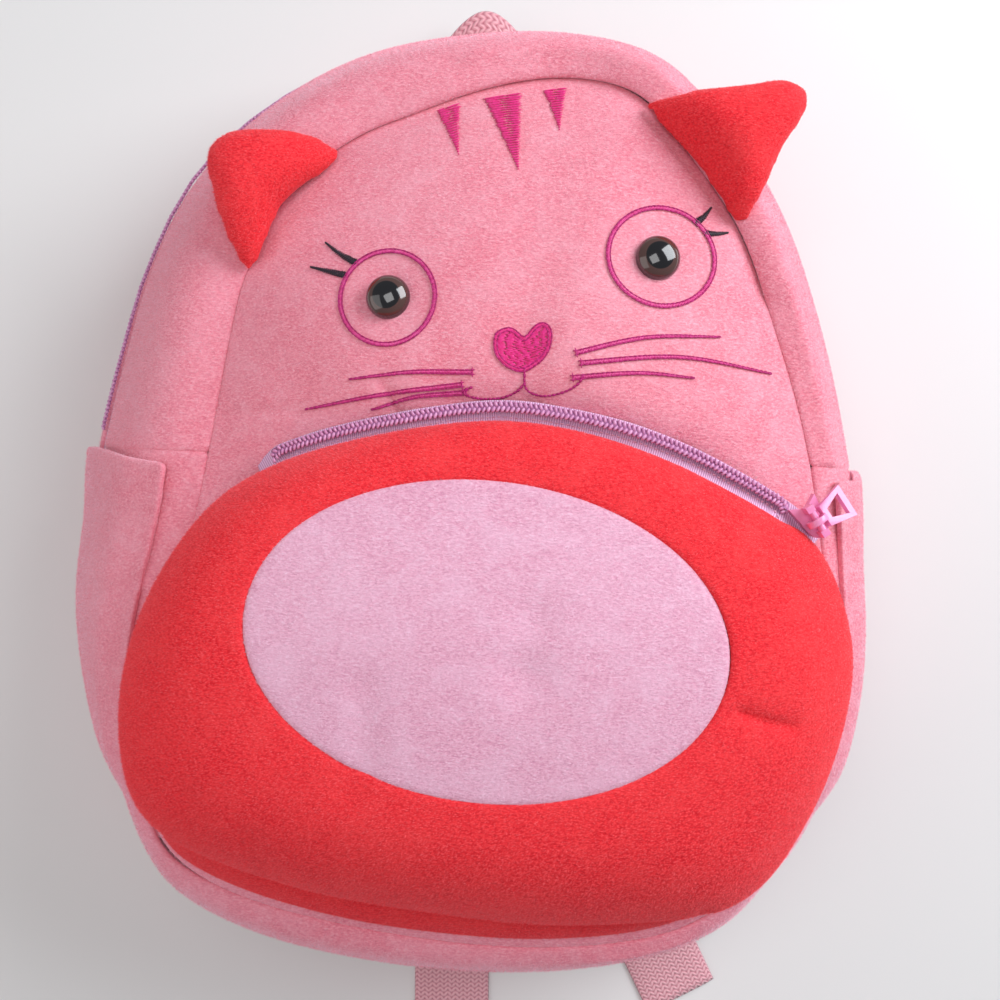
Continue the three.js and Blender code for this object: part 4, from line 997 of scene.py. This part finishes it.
# the coil's bed shows between the teeth in a darker colour, painted shade
bed = softened("pocket_zip_coil", "pocketCoilBed", 2, looks["coilBed"], -0.25)
finished(sunkEnd(bed), "zip_coil", "pocket_zip_coil")
teeth = threads("pocketCoil", coilTeeth(pocketLine - pocketFacing * 0.55, pocketFacing), looks["coil"],
                coil["girth"], coil["height"], 0.04, 3)
finished(sunkEnd(teeth), "zip_coil")
tape = softened("pocket_zip_tape", "pocketTape", 2, looks["tape"], 0.0)
finished(sunkEnd(mapAlong(tape, pocketLine)), "zip_tape", "pocket_zip_tape")
onTape = surfaceOf(tape, bed)
seamRow = smoothLine(pocketLine[:, :2] - outward * 2.75, 1.5)
seam = []
for spot, way in zip(seamRow, waysAlong(seamRow)):
    place, normal = lifted(spot[0], spot[1], 0.25, onTape)
    seam.append((place, np.array([way[0], way[1], 0]) * 0.5, normal))
finished(threads("pocketTapeSeam", seam, looks["satinPale"], 0.45, 0.5, 0.1, 5), "zip_tape")

bagLine, bagFacing = bagZipLine("main_zip", np.arange(1, 171, 1.5))
evenLine = smoothLine(bagLine, coil["pitch"] / 2)
share = np.linspace(0, len(bagFacing) - 1, len(evenLine))
rows = np.arange(len(bagFacing))
evenFacing = unitRows(np.stack([np.interp(share, rows, column) for column in bagFacing.T], axis=1))
mainTape = softened("main_zip", "mainTape", 2, looks["tape"], 0.0)
finished(mapAlong(mainTape, evenLine), "zip_tape", "main_zip")
proud = 0.3 + 1.7 * smoothStep(-evenLine[:, 0], 20, 80)[:, None]  # it stands out on the left
mainTeeth = threads("mainCoil", coilTeeth(evenLine + evenFacing * proud, evenFacing), looks["coil"],
                    coil["girth"], coil["height"], 0.04, 6)
finished(mainTeeth, "zip_coil")
print("zips:", len(pocketLine) + len(evenLine), "teeth")


# Hard pieces: the CAD shape with its edges rounded
hardPieces = {  # piece: node, edge radius in mm, body, shift in mm
    "pocketSlider": ("pocket_slider", 0.45, "bag", (0, 0, 0)),
    "pocketPull": ("pocket_pull", 0.4, "pocket_pull", (0, 0, 0)),
    "mainSlider": ("main_zip_slider", 0.35, "bag", (-2.2, -0.4, 0)),
    "leftAdjuster": ("strap_adjuster_left", 0.5, "bag", (0, 0, 0)),
    "rightAdjuster": ("strap_adjuster_right", 0.5, "bag", (0, 0, 0)),
}
for name, (node, radius, body, shift) in hardPieces.items():
    shell = cadShell(node)
    bmesh.ops.dissolve_limit(shell, angle_limit=0.03, verts=shell.verts, edges=shell.edges)
    made = shellPiece(shell, name, looks["plastic"])
    edge = made.modifiers.new("edge", "BEVEL")
    edge.width = radius * mm
    edge.segments = 3
    edge.angle_limit = 0.55
    edge.harden_normals = True
    evaluated(made, name)
    setPoints(made.data, pointsOf(made.data) + shift)
    finished(made, "pink_plastic", node, body=body)


# Flat webbing: a strip between two edges, with its UV map in millimetres
def strip(name, left, right, rise, across=10):
    middle = (left + right) / 2
    along = lengthsOf(middle)
    shares = (1 - np.cos(np.linspace(0, math.pi, across + 1))) / 2
    section = [(s, 1) for s in shares] + [(s, -1) for s in shares[-2:0:-1]]
    points, uv = [], []
    for i in range(len(middle)):
        for s, side in section:
            half = webbing["thick"] / 2 * side * (1 - abs(2 * s - 1) ** 6)
            points.append(left[i] + (right[i] - left[i]) * s + rise[i] * half)
            uv.append(((s - 0.5) * webbing["wide"], along[i]))
    count = len(section)
    faces = [[k for k in range(count)][::-1], [(len(middle) - 1) * count + k for k in range(count)]]
    for i in range(len(middle) - 1):
        for k in range(count):
            a, b = i * count + k, i * count + (k + 1) % count
            faces.append((a, b, b + count, a + count))
    made = meshOf(name, points, faces, looks["webbing"], uv)
    shell = bmesh.new()
    shell.from_mesh(made.data)
    bmesh.ops.recalc_face_normals(shell, faces=shell.faces)
    shell.to_mesh(made.data)
    shell.free()
    return made


def splineAt(points, share):
    points = np.asarray(points, float)
    at = share * (len(points) - 1)
    i = min(int(at), len(points) - 2)
    t = at - i
    a, b, c, d = points[max(i - 1, 0)], points[i], points[i + 1], points[min(i + 2, len(points) - 1)]
    return splinePart(a, b, c, d, t)


webbing = {"wide": 25.0, "thick": 1.6, "middle": 3.9, "turn": 3.1,
           "legLow": 2.75, "lockHalf": 8.6, "lead": 6.0}
strapRoutes = {  # in mm from the middle of the bag
    "left": {
        "lock": (-14, -88), "turn": -90, "tail": [(-4, -130), (-2, -178)],
        "leg": [(-72, -112), (-54, -114), (-32, -112)]},
    "right": {
        "lock": (34, -86), "turn": -95, "tail": [(45, -120), (62, -142), (75.5, -167.5)],
        "leg": [(84, -131), (66, -140), (50, -142), (39.5, -138.5), (33, -131), (31, -120)]},
}


def webFrames(route):
    heading = math.radians(route["turn"])
    down = np.array([math.cos(heading), math.sin(heading)])
    hub = np.array(route["lock"], float)
    lead = hub + down * (webbing["lockHalf"] + webbing["lead"])
    across = np.array([down[1], -down[0], 0.0])
    top = webbing["middle"] + webbing["turn"]
    rows = []
    for points, steps, low, high, turned in (
            ([*route["leg"], lead, hub], 48, webbing["legLow"], top, 1), (None, 10, 0, 0, 1),
            ([hub, lead, *route["tail"]], 36, webbing["thick"] / 2, webbing["thick"] / 2, -1)):
        for i in range(steps + 1):
            t = i / steps
            if points is None:
                if 0 < i < steps:
                    angle = t * math.pi
                    rise = np.array([*(-down * math.sin(angle)), math.cos(angle)])
                    rows.append((np.array([*hub, webbing["middle"]]) + rise * webbing["turn"], across, rise))
                continue
            spot = splineAt(points, t)
            way = splineAt(points, min(t + 0.001, 1)) - splineAt(points, max(t - 0.001, 0))
            way /= np.linalg.norm(way)
            side = np.array([-way[1], way[0], 0.0]) * turned
            if (t == 1 and turned > 0) or (t == 0 and turned < 0):
                side = across
            level = low + (high - low) * smoothStep(t, 0.35, 0.72)
            rows.append((np.array([*spot, level]), side, np.array([0.0, 0.0, turned])))
    at, side, rise = (np.array(column) for column in zip(*rows))
    at[:, :2] += bagMiddle
    return at, side, rise


for side, route in strapRoutes.items():
    at, across, rise = webFrames(route)
    half = across * webbing["wide"] / 2
    made = strip(side + "Webbing", at - half, at + half, rise)
    finished(made, "webbing", "strap_webbing_" + side)

handle = {"middle": 3, "half": 27, "gap": 4, "pinch": 0.3, "foot": 0.84, "inner": 14, "outer": 41.5,
          "low": 4.1, "curl": 10.0}
turns = np.pi * (1 - np.linspace(0, 1, 61))
high = np.sin(turns)
foot = handle["foot"] * bagHalf[1]
inner = np.column_stack([
    handle["middle"] + handle["gap"] * np.cos(turns), foot + handle["inner"] * high, 0 * turns])
outer = np.column_stack([
    handle["middle"] + handle["half"] * np.cos(turns) * (1 - handle["pinch"] * high ** 2),
    foot + handle["outer"] * high, handle["curl"] * high ** 3])
for edge in (inner, outer):
    edge[:, :2] += bagMiddle
    edge[:, 2] += handle["low"] + webbing["thick"] / 2
made = strip("grabHandle", inner, outer, np.tile([0.0, 0.0, 1.0], (len(inner), 1)), 14)
finished(made, "webbing", "grab_handle")
print("webbing laid")


clothFrames = 20


# Padded pieces swell under air pressure, then keep that shape
def puffed(piece, voxel, pressure, cap, floor=None, ceiling=None):
    remesh = piece.modifiers.new("remesh", "REMESH")
    remesh.mode = "VOXEL"
    remesh.voxel_size = voxel * mm
    look, name = piece.data.materials[0], piece.name
    evaluated(piece, name)
    start = pointsOf(piece.data)
    cloth = piece.modifiers.new("cloth", "CLOTH")
    cloth.settings.use_pressure = True
    cloth.settings.uniform_pressure_force = pressure
    cloth.settings.effector_weights.gravity = 0
    for number in range(1, clothFrames + 1):
        bpy.context.scene.frame_set(number)
    evaluated(piece, name)
    bpy.context.scene.frame_set(1)
    moved = pointsOf(piece.data) - start
    far = np.linalg.norm(moved, axis=1)[:, None]
    points = start + moved * np.minimum(1, cap / np.maximum(far, 1e-6))
    if floor is not None:
        points[:, 2] = np.clip(points[:, 2], floor, ceiling)
    setPoints(piece.data, points)
    finer = piece.modifiers.new("finer", "SUBSURF")
    finer.levels = finer.render_levels = 1
    evaluated(piece, name)
    piece.data.materials.clear()
    piece.data.materials.append(look)
    smoothShaded(piece.data)
    return piece


for name in ("leftEar", "rightEar"):
    puffed(pieces[name], 2.4, 4.0, 1.6)
for name in ("leftStrapPad", "rightStrapPad"):
    puffed(pieces[name], 3.2, 4.0, 1.5, 0.05, 8.3)
for name, (node, _, look, _) in plush.items():
    finished(pieces[name], slotOf[look], node)
print("padded pieces ready")

# Pile on the panels that show, held back under other panels and round the embroidery
pileRoom = 1.1  # mm over the cloth, where the rays that look for another panel start
pile = {  # most fibres on a piece, fibres per square mm, length, half width, nap
    "faceFront": (170000, 6.5, 0.62, 0.085, (-1.3, -0.35, 0.0)),
    "frontBand": (180000, 6.5, 0.72, 0.09, (-1.1, -0.5, 0.0)),
    "pocketFront": (180000, 6.5, 0.62, 0.085, (-1.3, -0.3, 0.0)),
    "belly": (60000, 7.0, 0.6, 0.085, (-1.3, -0.2, 0.0)),
    "sideAndBase": (120000, 4.0, 0.7, 0.1, (-0.6, -0.4, 0.3)),
    "rearBand": (90000, 3.0, 0.7, 0.11, (-0.5, -0.4, 0.4)),
    "pocketSide": (60000, 4.0, 0.6, 0.09, (-0.8, -0.3, 0.0)),
    "leftEar": (60000, 6.5, 0.62, 0.085, (-1.2, -0.5, 0.0)),
    "rightEar": (60000, 6.5, 0.62, 0.085, (-1.2, -0.5, 0.0)),
    "leftSidePocket": (50000, 4.0, 0.65, 0.1, (-0.5, -0.6, 0.0)),
    "rightSidePocket": (50000, 4.0, 0.65, 0.1, (-0.5, -0.6, 0.0)),
    "bagBack": (90000, 2.0, 0.7, 0.12, (-0.8, -0.6, 0.0)),
}
sewnTree = KDTree(len(sewn))
for i, (x, y) in enumerate(sewn):
    sewnTree.insert((x, y, 0), i)
sewnTree.balance()
corners, sheets = [], []
for name in plush:
    mesh = pieces[name].data
    base = len(corners)
    corners.extend(tuple(point) for point in pointsOf(mesh))
    sheets.extend([base + index for index in face.vertices] for face in mesh.polygons)
allPlush = BVHTree.FromPolygons(corners, sheets)
fibreCount = 0
for name, (most, density, length, width, nap) in pile.items():
    mesh = pieces[name].data.copy()
    points, facing = pointsOf(mesh), normalsOf(mesh)
    hairy = np.zeros(len(points))
    for k, (point, out) in enumerate(zip(points, facing)):
        hit = allPlush.ray_cast(Vector(point + out * pileRoom), Vector(out))[0]
        hairy[k] = 0.0 if hit is not None else 1.0
        if hairy[k] and name == "faceFront":
            far = sewnTree.find((point[0], point[1], 0))[2]
            hairy[k] = smoothStep(far, 0.7, 1.5)
    setField(mesh, "pile", hairy)
    areas = sum(face.area * hairy[list(face.vertices)].mean() for face in mesh.polygons) * 1e6
    count = min(most, areas * density) * 1
    look = plush[name][2]
    made = grown(linked(mesh, name + "Pile", fibres[look]), fibreTree, {
        "Density": 1e6 * count / max(areas, 1), "Length": length * mm, "Width": width * mm, "Nap": nap,
        "Loose": 0.6, "Seed": len(name) + most % 97, "Material": fibres[look]}, name + "Pile")
    finished(made, slotOf[look])
    fibreCount += len(made.data.polygons)
print("pile:", fibreCount, "fibres")

# Floor
floorMesh = bpy.data.meshes.new("paleFloor")
floorMesh.from_pydata([(-3, -3, 0), (3, -3, 0), (3, 3, 0), (-3, 3, 0)], [], [(0, 1, 2, 3)])
linked(floorMesh, "paleFloor", floorMaterial)
